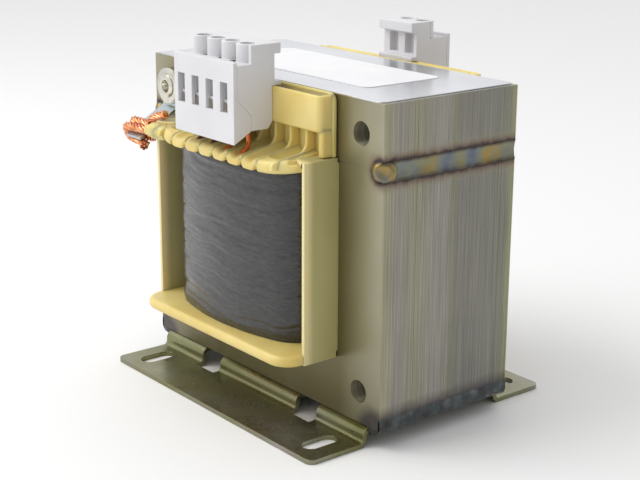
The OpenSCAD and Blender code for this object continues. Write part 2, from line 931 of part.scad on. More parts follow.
// Slotted screws that stand in the towers and reach down into the cages.
module terminal_screws(poles) {
    head_h = 2.2;
    head_z = block_top - 1.7 - head_h;
    slot_h = 0.8;
    for (k = [0:poles - 1])
        translate([pole_x(k, poles), -tower_y, 0])
            difference() {
                union() {
                    translate([0, 0, head_z]) cylinder(h = head_h, d = screw_head_d);
                    translate([0, 0, 0]) cylinder(h = head_z + e, d = screw_d);
                }
                translate([0, 0, head_z + head_h])
                    rotate([0, 0, 25 + 40 * k])
                        cube([screw_head_d + 1, 0.7, 2 * slot_h], center = true);
            }
}

// Clamp cages: square tubes open to the front, tapped on top for the screw, with
// a hole in the floor for the lead.
module clamp_cages(poles) {
    for (k = [0:poles - 1])
        translate([pole_x(k, poles), -tower_y, chamber_z - cage_h / 2 - fit_gap])
            difference() {
                cube([cage_w, cage_depth, cage_h], center = true);
                translate([0, 0, -0.6])
                    cube([cage_w - 2 * cage_wall, cage_depth + 1, cage_h - 2 * cage_wall - 1.2],
                        center = true);
                cylinder(h = cage_h, d = screw_d + fit_gap);
                translate([0, 0, -cage_h]) cylinder(h = cage_h, d = lead_hole_d);
            }
}

module front_block() in_place() on_rail() block_middle() children();
module rear_block() in_place() rotate([0, 0, 180]) on_rail() block_middle() children();

module terminal_body_front() color(block_grey) front_block() terminal_body(front_poles);
module terminal_cover_front() color(block_grey) front_block() terminal_cover(front_poles);
module terminal_screws_front() color(steel_grey) front_block() terminal_screws(front_poles);
module clamp_cages_front() color(steel_grey) front_block() clamp_cages(front_poles);
module terminal_body_rear() color(block_grey) rear_block() terminal_body(rear_poles);
module terminal_cover_rear() color(block_grey) rear_block() terminal_cover(rear_poles);
module terminal_screws_rear() color(steel_grey) rear_block() terminal_screws(rear_poles);
module clamp_cages_rear() color(steel_grey) rear_block() clamp_cages(rear_poles);

// --- Leads and earth point ---

function unit(v) = v / norm(v);

// Direction of a route at point i.
function heading(p, i) =
    unit(p[min(i + 1, len(p) - 1)] - p[max(i - 1, 0)]);

// Two directions across a route: one level where possible, one square to both.
function across(d, hint) = unit(cross(d, hint));

// Round wire swept along a route. hint is a direction that the route never takes.
module wire(p, d, hint, sides = 8) {
    n = len(p);
    rings = [
        for (i = [0:n - 1])
            let (h = heading(p, i), u = across(h, hint), v = cross(h, u))
            for (j = [0:sides - 1])
                p[i] + d / 2 * (cos(360 * j / sides) * u + sin(360 * j / sides) * v)
    ];
    sleeve = [
        for (i = [0:n - 2], j = [0:sides - 1])
            let (j2 = (j + 1) % sides)
            [i * sides + j, i * sides + j2, (i + 1) * sides + j2, (i + 1) * sides + j]
    ];
    ends = [
        [for (j = [0:sides - 1]) sides - 1 - j],
        [for (j = [0:sides - 1]) (n - 1) * sides + j]
    ];
    polyhedron(points = rings, faces = concat(sleeve, ends));
}

// Height of the walls between the gutters at a depth y.
function comb_top(y) = comb_z - (-y - wall_back_y) * tan(comb_slope);

// Route of a lead: out of the winding through the comb, back along a gutter and
// up into a clamp cage.
function lead_route(gutter, pole) =
    let (y = -lead_hole_y, cage_y = -rail_y - tower_y)
    [
        [gutter, y, comb_top(y) - comb_t / cos(comb_slope) + slide_gap],
        [gutter, y, comb_top(y) - 1.5],
        [gutter, y + 0.6, comb_top(y) - 0.5],
        [gutter, y + 1.7, comb_top(y) + 0.2],
        [(gutter + pole) / 2, y + 2.6, comb_top(y) + 1.5],
        [pole, cage_y - 0.2, comb_top(y) + 3.6],
        [pole, cage_y, comb_top(y) + 5.5],
        [pole, cage_y, rail_top + chamber_z - cage_h + 2.6]
    ];

module leads(poles, list, d) {
    for (k = list)
        wire(lead_route(pole_x(k, poles), pole_x(k, poles) + block_shift), d, [1, 0, 0]);
}

module sleeved_leads_front() color(sleeve_brown) in_place()
    leads(front_poles, [0, 1], sleeved_lead_d);
module bare_leads_front() color(copper_orange) in_place()
    leads(front_poles, [2:front_poles - 1], bare_lead_d);
module bare_leads_rear() color(copper_orange) in_place()
    rotate([0, 0, 180]) leads(rear_poles, [0:rear_poles - 1], bare_lead_d);

// Centre of the rivet, on the face of the core.
module at_earth_point() {
    translate([earth_x, -face_y, earth_z]) children();
}

// Stands along the stack, growing out of the front face.
module outwards() {
    rotate([90, 0, 0]) children();
}

// Frame of the tag's bent end: x across, -y along the slope, z square to it.
module on_tag_slope() {
    translate([earth_x, -face_y - tag_t, tag_bend_z])
        rotate([tag_slope, 0, 0])
            children();
}

// Tag of plated steel: a ring under the washer, with a strip that is folded out
// and down below it.
module earth_tag() color(steel_grey) in_place() {
    fold_z = tag_bend_z - earth_z;
    out = tag_l * cos(tag_slope);
    down = tag_l * sin(tag_slope);
    at_earth_point() difference() {
        union() {
            outwards() cylinder(h = tag_t, d = washer_d - 1);
            sideways(tag_w) polygon([
                [0, 0], [-tag_t, 0], [-tag_t, fold_z], [-tag_t - out, fold_z - down],
                [-tag_t - out + tag_t * sin(tag_slope), fold_z - down - tag_t * cos(tag_slope)],
                [0, fold_z - tag_t * tan(45 - tag_slope / 2)]
            ]);
        }
        outwards() translate([0, 0, -1]) cylinder(h = tag_t + 2, d = rivet_d + slide_gap);
    }
}

module earth_washer() color(steel_grey) in_place() {
    at_earth_point() outwards()
        translate([0, 0, tag_t])
            difference() {
                cylinder(h = washer_t, d = washer_d);
                translate([0, 0, -1]) cylinder(h = washer_t + 2, d = rivet_d + slide_gap);
            }
}

// Tubular rivet through the corner hole, its rims rolled over at both ends.
module earth_rivet() color(steel_grey) in_place() {
    rim_t = 0.7;
    rim_d = rivet_d + 2.2;
    front = tag_t + washer_t;
    at_earth_point() outwards()
        difference() {
            union() {
                translate([0, 0, -stack_t - rim_t])
                    cylinder(h = stack_t + front + 2 * rim_t, d = rivet_d);
                translate([0, 0, front]) cylinder(h = rim_t, d1 = rim_d, d2 = rivet_d + 0.8);
                translate([0, 0, -stack_t - rim_t])
                    cylinder(h = rim_t, d1 = corner_hole_d + 0.8, d2 = corner_hole_d + 2);
            }
            translate([0, 0, -stack_t - 2 * rim_t])
                cylinder(h = stack_t + front + 4 * rim_t, d = rivet_d - 2 * rivet_wall);
        }
}

// Copper strand of the screen: it comes off the comb, goes twice round the end of
// the tag and stops in a short tail.
module earth_wire() color(copper_orange) in_place() {
    r = earth_wire_d / 2;
    side = tag_w / 2 + r + slide_gap;
    over = r + slide_gap;
    under = -tag_t - over;
    mid = -tag_t / 2;
    turn_1 = -tag_l + 4.7;
    turn_2 = turn_1 - 2.8;
    on_tag_slope()
        wire(concat(
            [[side + 5.7, turn_1 + 2.3, over + 2.7], [side + 2.6, turn_1 + 1.6, over + 2.3]],
            [[side, turn_1 + 0.8, over + 1.3]],
            wrap(side, over, under, mid, turn_1, turn_1 - 1.1),
            [[side - 0.3, turn_1 - 1.8, under + 0.5], [side, turn_1 - 2.1, mid]],
            [[side - 0.3, turn_1 - 2.3, over - 0.5]],
            wrap(side, over, under, mid, turn_2 + 0.2, turn_2 - 0.9),
            [[side - 1, turn_2 - 2, under + 0.3], [side + 1.8, turn_2 - 3.2, under + 1.2]]
        ), earth_wire_d, [0, 1, 0]);
}

// Points of one turn over the top of the tag, round its left edge and back
// under it, drifting from y0 to y1.
function wrap(side, over, under, mid, y0, y1) = [
    [side - 1.3, y0, over], [0, y0 - 0.2, over], [1.3 - side, y0 - 0.3, over],
    [0.3 - side, y0 - 0.4, over - 0.5], [-side, y0 - 0.6, mid],
    [0.3 - side, y0 - 0.8, under + 0.5], [1.3 - side, y0 - 0.9, under],
    [0, y1, under], [side - 1.3, y1 - 0.3, under]
];

// --- Top ---

// Thin cover sheet on the upper yoke.
module top_sheet() color(steel_grey) in_place() {
    translate([0, 0, core_h])
        linear_extrude(top_sheet_t)
            round_rect(core_w - 2 * top_sheet_inset, stack_t, 2);
}

// Blank rating label on the cover sheet.
module rating_label() color("white") in_place() {
    translate([0, 0, core_h + top_sheet_t])
        linear_extrude(label_t)
            round_rect(label_l, label_w, 2.5);
}

core_e_stack();
core_i_stack();
seam_weld_right();
seam_weld_left();
base_weld_right();
base_weld_left();
mounting_bracket();
coil_former();
side_cover_right();
side_cover_left();
primary_winding();
layer_insulation();
secondary_winding();
winding_tape();
terminal_body_front();
terminal_cover_front();
terminal_screws_front();
clamp_cages_front();
terminal_body_rear();
terminal_cover_rear();
terminal_screws_rear();
clamp_cages_rear();
sleeved_leads_front();
bare_leads_front();
bare_leads_rear();
earth_tag();
earth_washer();
earth_rivet();
earth_wire();
top_sheet();
rating_label();
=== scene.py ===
"""Laminated chassis transformer, dressed piece by piece in the order it is put together.

Sizes are in millimetres and points are given as (across, back, up): across to the
right of someone who faces the larger terminal block, back through the stack of
sheets, and up from the underside of the core.
"""

import math
import random

import bmesh
import bpy
from mathutils import Matrix, Vector, noise
from mathutils.geometry import tessellate_polygon


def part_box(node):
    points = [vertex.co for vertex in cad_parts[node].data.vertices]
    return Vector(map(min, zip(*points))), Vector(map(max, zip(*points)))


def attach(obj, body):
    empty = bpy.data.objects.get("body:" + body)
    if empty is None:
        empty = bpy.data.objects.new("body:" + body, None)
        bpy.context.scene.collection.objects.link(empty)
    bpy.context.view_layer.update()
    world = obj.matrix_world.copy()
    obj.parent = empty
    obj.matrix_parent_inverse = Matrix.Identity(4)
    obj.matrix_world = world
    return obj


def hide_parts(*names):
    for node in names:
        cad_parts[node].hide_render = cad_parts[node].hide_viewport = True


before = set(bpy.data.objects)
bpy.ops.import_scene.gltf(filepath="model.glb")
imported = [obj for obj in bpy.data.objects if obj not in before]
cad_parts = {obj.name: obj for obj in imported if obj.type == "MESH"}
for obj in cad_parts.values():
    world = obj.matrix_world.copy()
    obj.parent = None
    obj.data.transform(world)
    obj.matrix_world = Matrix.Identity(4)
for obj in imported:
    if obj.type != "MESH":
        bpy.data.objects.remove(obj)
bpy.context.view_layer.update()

# --- Core: the E sheets and the I sheets ---
# Varnished electrical steel, punched 0.5 mm thick and stacked. The E sheets carry the
# coil on their middle leg, the I sheets close them on top, and no two sheets line up
# exactly, so the sides show fine upright lines.

MM = 0.001
SEAT_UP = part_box("core_e_stack")[0].z / MM
SEAM_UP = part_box("core_i_stack")[0].z / MM - SEAT_UP
HALF_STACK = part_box("core_e_stack")[1].x / MM
LEG = SEAM_UP / 4
CORE_TOP = 5 * LEG
CORE_SIDE = 3 * LEG
HOLE_INSET = LEG / 2


def spot(across, back, up):
    """A point of the part in the row frame, in metres."""
    return Vector((back, -across, up + SEAT_UP)) * MM


def new_piece(name, mesh, finish, slot, *nodes, crease=35):
    """Adds a mesh as a piece in place of CAD nodes, smooth but for its creases."""
    mesh.validate()
    for face in mesh.polygons:
        face.use_smooth = True
    mesh.set_sharp_from_angle(angle=math.radians(crease))
    piece = bpy.data.objects.new(name, mesh)
    bpy.context.scene.collection.objects.link(piece)
    mesh.materials.append(finish)
    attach(piece, "root")
    if nodes:
        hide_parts(*nodes)
    return piece


def drawn_in(loop, inset):
    """A closed outline drawn in by a distance, corner by corner."""
    result = []
    for i, corner in enumerate(loop):
        before = (corner - loop[i - 1]).normalized()
        after = (loop[(i + 1) % len(loop)] - corner).normalized()
        side_a = Vector((-before.y, before.x))
        side_b = Vector((-after.y, after.x))
        mitre = (side_a + side_b).normalized()
        result.append(corner + mitre * (inset / max(0.3, mitre.dot(side_a))))
    return result


def round_hole(across, up, radius, steps=28):
    """Outline of a hole, run clockwise so that drawing it in widens the hole."""
    turns = [-math.tau * i / steps for i in range(steps)]
    return [Vector((across + radius * math.cos(a), up + radius * math.sin(a))) for a in turns]


def stack_mesh(name, loops, sheet_t, rim, slips):
    """A stack of punched sheets, each with its rims eased and slipped sideways."""
    rings = [[drawn_in(loop, rim) for loop in loops], loops, loops, [drawn_in(loop, rim) for loop in loops]]
    cap = tessellate_polygon([[(p.x, p.y, 0) for p in loop] for loop in rings[0]])
    count = sum(len(loop) for loop in loops)
    points, faces = [], []
    for k, slip in enumerate(slips):
        base = len(points)
        front = -HALF_STACK + k * sheet_t
        depths = [front, front + rim, front + sheet_t - rim, front + sheet_t]
        for ring, depth in zip(rings, depths):
            points += [spot(p.x + slip, depth, p.y) for loop in ring for p in loop]
        faces += [[base + i for i in corner] for corner in cap]
        faces += [[base + 3 * count + i for i in reversed(corner)] for corner in cap]
        for level in range(3):
            start = base + level * count
            for loop in loops:
                for i in range(len(loop)):
                    a, b = start + i, start + (i + 1) % len(loop)
                    faces.append([a, b, b + count, a + count])
                start += len(loop)
    mesh = bpy.data.meshes.new(name)
    mesh.from_pydata(points, [], faces)
    solid = bmesh.new()
    solid.from_mesh(mesh)
    bmesh.ops.recalc_face_normals(solid, faces=solid.faces)
    solid.to_mesh(mesh)
    solid.free()
    return mesh


def new_finish(name, colour, roughness, metallic=0.0):
    """A material and its node tree, with the shader's plain values set."""
    material = bpy.data.materials.new(name)
    material.use_nodes = True
    shader = material.node_tree.nodes["Principled BSDF"]
    shader.inputs["Base Color"].default_value = (*colour, 1)
    shader.inputs["Roughness"].default_value = roughness
    shader.inputs["Metallic"].default_value = metallic
    return material, material.node_tree, shader


def value_of(tree, source, socket):
    """Joins a node's output to a socket, or sets the socket to a plain value."""
    if isinstance(source, bpy.types.NodeSocket):
        tree.links.new(source, socket)
    else:
        socket.default_value = source


def place_in_mm(tree, stretch=(1, 1, 1)):
    """Coordinates on the part in millimetres, along the row's own axes."""
    where = tree.nodes.new("ShaderNodeTexCoord")
    scale = tree.nodes.new("ShaderNodeMapping")
    scale.inputs["Scale"].default_value = [s / MM for s in stretch]
    tree.links.new(where.outputs["Object"], scale.inputs["Vector"])
    return scale.outputs["Vector"]


def mottle(tree, per_mm, stretch=(1, 1, 1), detail=3.0, coarse=0.5, shift=0.0):
    """Noise over the part, with a given number of patches per millimetre."""
    cloud = tree.nodes.new("ShaderNodeTexNoise")
    cloud.noise_dimensions = "4D"
    cloud.inputs["W"].default_value = shift
    cloud.inputs["Scale"].default_value = per_mm
    cloud.inputs["Detail"].default_value = detail
    cloud.inputs["Roughness"].default_value = coarse
    tree.links.new(place_in_mm(tree, stretch), cloud.inputs["Vector"])
    return cloud.outputs["Fac"]


def sum_of(tree, how, a, b, clamp=False):
    """One step of arithmetic between two values."""
    step = tree.nodes.new("ShaderNodeMath")
    step.operation = how
    step.use_clamp = clamp
    value_of(tree, a, step.inputs[0])
    value_of(tree, b, step.inputs[1])
    return step.outputs[0]


def along(tree, axis):
    """Position along one row axis, in millimetres."""
    split = tree.nodes.new("ShaderNodeSeparateXYZ")
    tree.links.new(place_in_mm(tree), split.inputs[0])
    return split.outputs[axis]


def between(tree, source, low, high, start=0.0, end=1.0):
    """A value carried from one range to another, held at both ends."""
    carry = tree.nodes.new("ShaderNodeMapRange")
    for socket, plain in zip(("From Min", "From Max", "To Min", "To Max"), (low, high, start, end)):
        carry.inputs[socket].default_value = plain
    tree.links.new(source, carry.inputs["Value"])
    return carry.outputs["Result"]


def tones(tree, source, *stops):
    """A row of colours, picked by a value; each stop is (place, colour)."""
    ramp = tree.nodes.new("ShaderNodeValToRGB")
    marks = ramp.color_ramp.elements
    while len(marks) < len(stops):
        marks.new(0.5)
    for mark, (place, colour) in zip(marks, stops):
        mark.position = place
        mark.color = (*colour, 1)
    tree.links.new(source, ramp.inputs["Fac"])
    return ramp.outputs["Color"]


def layered(tree, factor, under, over, how="MIX"):
    """One colour laid over another."""
    mix = tree.nodes.new("ShaderNodeMix")
    mix.data_type = "RGBA"
    mix.blend_type = how
    value_of(tree, factor, mix.inputs["Factor"])
    value_of(tree, under if isinstance(under, bpy.types.NodeSocket) else (*under, 1), mix.inputs["A"])
    value_of(tree, over if isinstance(over, bpy.types.NodeSocket) else (*over, 1), mix.inputs["B"])
    return mix.outputs["Result"]


def relief(tree, shader, height, depth_mm, strength=1.0):
    """Raises the surface by a pattern, on top of what is there already."""
    bump = tree.nodes.new("ShaderNodeBump")
    bump.inputs["Distance"].default_value = depth_mm * MM
    bump.inputs["Strength"].default_value = strength
    if shader.inputs["Normal"].links:
        tree.links.new(shader.inputs["Normal"].links[0].from_socket, bump.inputs["Normal"])
    tree.links.new(height, bump.inputs["Height"])
    tree.links.new(bump.outputs["Normal"], shader.inputs["Normal"])


def distance_from(tree, across, up):
    """Distance of a point from a line through the stack, on either side of the core."""
    side = sum_of(tree, "SUBTRACT", sum_of(tree, "ABSOLUTE", along(tree, "Y"), 0.0), across)
    rise = sum_of(tree, "SUBTRACT", along(tree, "Z"), up + SEAT_UP)
    squares = sum_of(tree, "ADD", sum_of(tree, "MULTIPLY", side, side), sum_of(tree, "MULTIPLY", rise, rise))
    return sum_of(tree, "SQRT", squares, 0.0)


def facing_along_stack(tree):
    """1 on the flat faces of the stack, 0 on the sides that show the sheets' edges."""
    surface = tree.nodes.new("ShaderNodeNewGeometry")
    split = tree.nodes.new("ShaderNodeSeparateXYZ")
    tree.links.new(surface.outputs["Normal"], split.inputs[0])
    return between(tree, sum_of(tree, "ABSOLUTE", split.outputs["X"], 0.0), 0.5, 0.9)


lamination, tree, shader = new_finish("varnished_lamination", (0.2, 0.19, 0.15), 0.4, 0.55)
edge_tone = tones(
    tree,
    sum_of(tree, "ADD", between(tree, along(tree, "X"), -HALF_STACK, HALF_STACK),
           sum_of(tree, "MULTIPLY", sum_of(tree, "SUBTRACT", mottle(tree, 0.05), 0.5), 0.04)),
    (0.0, (0.34, 0.32, 0.20)), (0.06, (0.31, 0.29, 0.22)), (0.12, (0.28, 0.26, 0.235)),
    (0.25, (0.27, 0.265, 0.19)), (0.4, (0.285, 0.27, 0.25)), (0.49, (0.27, 0.26, 0.23)),
    (0.52, (0.21, 0.21, 0.15)), (0.58, (0.2, 0.195, 0.175)), (0.8, (0.205, 0.2, 0.18)),
    (0.94, (0.2, 0.2, 0.16)), (1.0, (0.3, 0.3, 0.17)),
)
streaks = mottle(tree, 1.0, (2.1, 0.02, 0.035), 2.0)
edge_tone = layered(
    tree, 0.55, edge_tone, tones(tree, streaks, (0.3, (0.3, 0.3, 0.3)), (0.7, (0.78, 0.77, 0.74))),
    "OVERLAY"
)
face_blotch = mottle(tree, 0.06, (1, 1, 0.35), 4.0)
off_middle = between(tree, sum_of(tree, "ABSOLUTE", along(tree, "Y"), 0.0), 2 * LEG, 3 * LEG)
face_tone = tones(
    tree,
    sum_of(
        tree, "ADD", off_middle, sum_of(tree, "MULTIPLY", sum_of(tree, "SUBTRACT", face_blotch, 0.5), 0.6)
    ),
    (0.0, (0.17, 0.145, 0.06)), (0.3, (0.24, 0.215, 0.12)), (0.7, (0.3, 0.28, 0.18)),
    (1.0, (0.33, 0.31, 0.22)),
)
low_shade = between(tree, along(tree, "Z"), SEAT_UP, SEAT_UP + 30, 0.75, 1.0)
face_tone = layered(
    tree, 1.0, face_tone, tones(tree, low_shade, (0.0, (0, 0, 0)), (1.0, (1, 1, 1))), "MULTIPLY"
)
steel_tone = layered(tree, facing_along_stack(tree), edge_tone, face_tone)
wobble = sum_of(tree, "MULTIPLY", sum_of(tree, "SUBTRACT", mottle(tree, 0.35), 0.5), 1.6)
from_seam = sum_of(tree, "ADD", distance_from(tree, CORE_SIDE - 1.3, SEAM_UP), wobble)
heat_tint = tones(
    tree, between(tree, from_seam, 2.2, 6.2),
    (0.0, (0.03, 0.02, 0.015)), (0.18, (0.05, 0.03, 0.03)), (0.38, (0.2, 0.14, 0.09)),
    (0.65, (0.27, 0.25, 0.17)),
)
steel_tone = layered(tree, between(tree, from_seam, 3.0, 5.6, 1.0, 0.0), steel_tone, heat_tint)
from_base = sum_of(tree, "ADD", distance_from(tree, CORE_SIDE - 2, -1.0), wobble)
steel_tone = layered(tree, between(tree, from_base, 4.4, 7.5, 0.9, 0.0), steel_tone, (0.055, 0.045, 0.05))
tree.links.new(steel_tone, shader.inputs["Base Color"])
tree.links.new(between(tree, mottle(tree, 0.12, shift=3.0), 0.3, 0.7, 0.3, 0.46), shader.inputs["Roughness"])
shader.inputs["Coat Weight"].default_value = 0.25
shader.inputs["Coat Roughness"].default_value = 0.2
relief(tree, shader, mottle(tree, 0.25, (1, 1, 0.5), 4.0), 0.05, 0.4)

random.seed(4)
sheet_t = 0.5
sheet_rim = 0.05
sheets = round(2 * HALF_STACK / sheet_t)
slips = [0.035 * math.sin(2.4 * (k // 7)) + random.uniform(-0.03, 0.03) for k in range(sheets)]
weld_bite = 1.2
weld_half_h = 2.4
bite_r = (weld_half_h ** 2 + weld_bite ** 2) / (2 * weld_bite)


def bitten(side, up):
    """How far across a sheet's edge lies at a height, where the seam weld melts in."""
    rise = min(weld_half_h, abs(up - SEAM_UP))
    return side * (CORE_SIDE - weld_bite + bite_r - math.sqrt(bite_r ** 2 - rise ** 2))


bite_steps = [weld_half_h * i / 4 for i in range(5)]
gap = 0.04
e_outline = [(-CORE_SIDE, 0), (CORE_SIDE, 0)]
e_outline += [(bitten(1, SEAM_UP - s), SEAM_UP - s) for s in reversed(bite_steps)]
e_outline += [(2 * LEG, SEAM_UP), (2 * LEG, LEG), (LEG, LEG), (LEG, SEAM_UP)]
e_outline += [(-LEG, SEAM_UP), (-LEG, LEG), (-2 * LEG, LEG), (-2 * LEG, SEAM_UP)]
e_outline += [(bitten(-1, SEAM_UP - s), SEAM_UP - s) for s in bite_steps]
e_outline = [Vector((x, min(y, SEAM_UP - gap))) for x, y in e_outline]
i_outline = [(bitten(-1, SEAM_UP + s), SEAM_UP + s) for s in reversed(bite_steps)]
i_outline += [(bitten(1, SEAM_UP + s), SEAM_UP + s) for s in bite_steps]
i_outline += [(CORE_SIDE, CORE_TOP), (-CORE_SIDE, CORE_TOP)]
i_outline = [Vector((x, max(y, SEAM_UP + gap))) for x, y in i_outline]
hole_r = 2.9
low_holes = [round_hole(x * (CORE_SIDE - HOLE_INSET), HOLE_INSET, hole_r) for x in (-1, 1)]
high_holes = [round_hole(x * (CORE_SIDE - HOLE_INSET), CORE_TOP - HOLE_INSET, hole_r) for x in (-1, 1)]
new_piece("e_sheets", stack_mesh("e_sheets", [e_outline, *low_holes], sheet_t, sheet_rim, slips),
          lamination, "lamination_steel", "core_e_stack")
new_piece("i_sheets", stack_mesh("i_sheets", [i_outline, *high_holes], sheet_t, sheet_rim, slips),
          lamination, "lamination_steel", "core_i_stack")

# --- Seam welds: one along each side of the core ---
# A run of the torch melts the E and I sheets together. The bead is a little hollow and
# finely rippled, starts in a round crater over the front corner, and keeps its heat tints.

seam_finish, tree, shader = new_finish("seam_weld_bead", (0.2, 0.2, 0.18), 0.3, 0.8)
tint = sum_of(tree, "ADD", mottle(tree, 0.09, (1.4, 0.5, 0.5), 2.0, shift=7.0),
              sum_of(tree, "MULTIPLY", sum_of(tree, "SUBTRACT", mottle(tree, 0.5, shift=2.0), 0.5), 0.12))
tint = tones(
    tree, tint,
    (0.28, (0.1, 0.12, 0.17)), (0.38, (0.17, 0.19, 0.2)), (0.45, (0.2, 0.21, 0.16)),
    (0.52, (0.23, 0.22, 0.13)),
    (0.58, (0.32, 0.22, 0.07)), (0.64, (0.2, 0.2, 0.16)), (0.74, (0.12, 0.14, 0.18)),
)
rim_wave = sum_of(tree, "MULTIPLY", sum_of(tree, "SUBTRACT", mottle(tree, 0.4, shift=5.0), 0.5), 0.9)
off_seam = sum_of(tree, "ABSOLUTE", sum_of(tree, "SUBTRACT", along(tree, "Z"), SEAM_UP + SEAT_UP), 0.0)
rim = between(tree, sum_of(tree, "ADD", off_seam, rim_wave), 1.5, 2.5)
tint = layered(tree, rim, tint, (0.05, 0.035, 0.03))
tree.links.new(tint, shader.inputs["Base Color"])
relief(tree, shader, mottle(tree, 1.2, shift=1.0), 0.08, 0.5)

crater_r = 3.1
crater_inset = crater_r / 2


def seam_bead(side):
    """Bead on one side of the core: a rippled strip that fills the groove."""
    steps_back, steps_up = 110, 14
    skin = bmesh.new()
    rows = []
    for i in range(steps_back + 1):
        back = -HALF_STACK + 2 * HALF_STACK * i / steps_back
        row = []
        for j in range(steps_up + 1):
            t = 2 * j / steps_up - 1
            wander = (0.35 * noise.noise((back * 0.18, side * 3, 0.0))
                      + 0.15 * noise.noise((back * 0.7, side * 5, 1.0)))
            up = SEAM_UP + t * (weld_half_h + 0.3) + wander
            ripple = 0.05 * math.sin(math.tau * (back / 0.95 - 0.45 * (1 - t * t)))
            hollow = 0.5 * (1 - t * t) - 0.12 * math.exp(-((abs(t) - 0.86) / 0.12) ** 2)
            across = CORE_SIDE + 0.1 - hollow + ripple * (1 - t * t)
            across += 0.12 * noise.noise((back * 0.4, up * 0.6, side * 2.0)) * (1 - t ** 4)
            if abs(t) == 1:
                across = CORE_SIDE - 0.12
            row.append(skin.verts.new(spot(side * across, back, up)))
        row.append(skin.verts.new(spot(side * (CORE_SIDE - weld_bite), back, SEAM_UP)))
        rows.append(row)
    for a, b in zip(rows, rows[1:]):
        for j in range(len(a)):
            k = (j + 1) % len(a)
            skin.faces.new([a[j], a[k], b[k], b[j]])
    skin.faces.new(rows[0])
    skin.faces.new(list(reversed(rows[-1])))
    return skin


def add_crater(skin, side):
    """Round blob over the front corner, with a dished middle and a raised lip."""
    middle = Vector((side * (CORE_SIDE - crater_inset), -(HALF_STACK - crater_inset), SEAM_UP))
    outward = Vector((side, -1, 0.1)).normalized()
    made = bmesh.ops.create_uvsphere(skin, u_segments=40, v_segments=28, radius=1.0)
    for vert in made["verts"]:
        ray = vert.co.normalized()
        facing = ray.dot(outward)
        reach = crater_r - 0.16 * noise.noise(ray * 2.3 + Vector((side, 4, 0)))
        dish = max(0.0, (facing - 0.72) / 0.28)
        reach -= 1.1 * dish * dish * (3 - 2 * dish)
        reach -= 0.18 * abs(noise.noise(ray * 5)) * dish
        vert.co = spot(*(middle + ray * reach))


for side, word in ((1, "right"), (-1, "left")):
    skin = seam_bead(side)
    add_crater(skin, side)
    bmesh.ops.recalc_face_normals(skin, faces=skin.faces)
    mesh = bpy.data.meshes.new("seam_bead_" + word)
    skin.to_mesh(mesh)
    skin.free()
    new_piece("seam_bead_" + word, mesh, seam_finish, "seam_weld_steel", "seam_weld_" + word, crease=60)

# --- Base welds: one under each side of the core ---
# Fillet beads that hold the core on the seat of the bracket. They are laid wet, so the
# lower edge runs down over the bracket's end in uneven scallops, and stay slate dark.

base_finish, tree, shader = new_finish("base_weld_bead", (0.05, 0.058, 0.06), 0.28, 0.6)
slate = tones(
    tree, mottle(tree, 0.3, shift=4.0), (0.3, (0.035, 0.03, 0.032)), (0.5, (0.06, 0.07, 0.072)),
    (0.7, (0.13, 0.145, 0.15))
)
tree.links.new(slate, shader.inputs["Base Color"])
relief(tree, shader, mottle(tree, 0.8, shift=6.0), 0.1, 0.5)
bracket_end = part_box("mounting_bracket")[1].y / MM
weld_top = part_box("base_weld_right")[1].z / MM - SEAT_UP
weld_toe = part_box("base_weld_right")[0].z / MM - SEAT_UP
for side, word in ((1, "right"), (-1, "left")):
    skin = bmesh.new()
    rows = []
    for i in range(121):
        back = -HALF_STACK + 2 * HALF_STACK * i / 120
        drip = 0.35 * noise.noise((back * 0.35, side * 4.0, 0.0)) + 0.2 * noise.noise((back * 1.1, side, 2.0))
        climb = 0.3 * noise.noise((back * 0.25, side * 6.0, 5.0))
        start = Vector((CORE_SIDE + 0.02, weld_top - 0.15 + min(0.15, climb)))
        end = Vector((bracket_end + 0.3, weld_toe + 0.25 + abs(drip)))
        out = Vector((start.y - end.y, end.x - start.x)).normalized()
        row = []
        for j in range(13):
            t = j / 12
            belly = 4 * t * (1 - t) * (2.05 + 0.2 * noise.noise((back * 0.6, t, side)))
            belly += 0.06 * math.sin(math.tau * (back / 1.2 + 0.6 * t)) * math.sin(math.pi * t)
            p = start.lerp(end, t) + out * belly
            row.append(skin.verts.new(spot(side * min(p.x, CORE_SIDE + 0.6), back, p.y)))
        row.append(skin.verts.new(spot(side * (bracket_end + 0.02), back, end.y + 0.1)))
        row.append(skin.verts.new(spot(side * (bracket_end + 0.02), back, -0.02)))
        row.append(skin.verts.new(spot(side * (CORE_SIDE - 0.5), back, -0.02)))
        row.append(skin.verts.new(spot(side * (CORE_SIDE - 0.5), back, weld_top - 0.6)))
        rows.append(row)
    for a, b in zip(rows, rows[1:]):
        for j in range(len(a)):
            k = (j + 1) % len(a)
            skin.faces.new([a[j], a[k], b[k], b[j]])
    skin.faces.new(rows[0])
    skin.faces.new(list(reversed(rows[-1])))
    bmesh.ops.recalc_face_normals(skin, faces=skin.faces)
    mesh = bpy.data.meshes.new("base_bead_" + word)
    skin.to_mesh(mesh)
    skin.free()
    new_piece("base_bead_" + word, mesh, base_finish, "base_weld_steel", "base_weld_" + word, crease=70)

# --- Foot bracket ---
# One pressed sheet of zinc-plated steel with an olive passivation. Two folds step it
# down from the seat under the core to the slotted feet, and the cut-outs ease the folds.


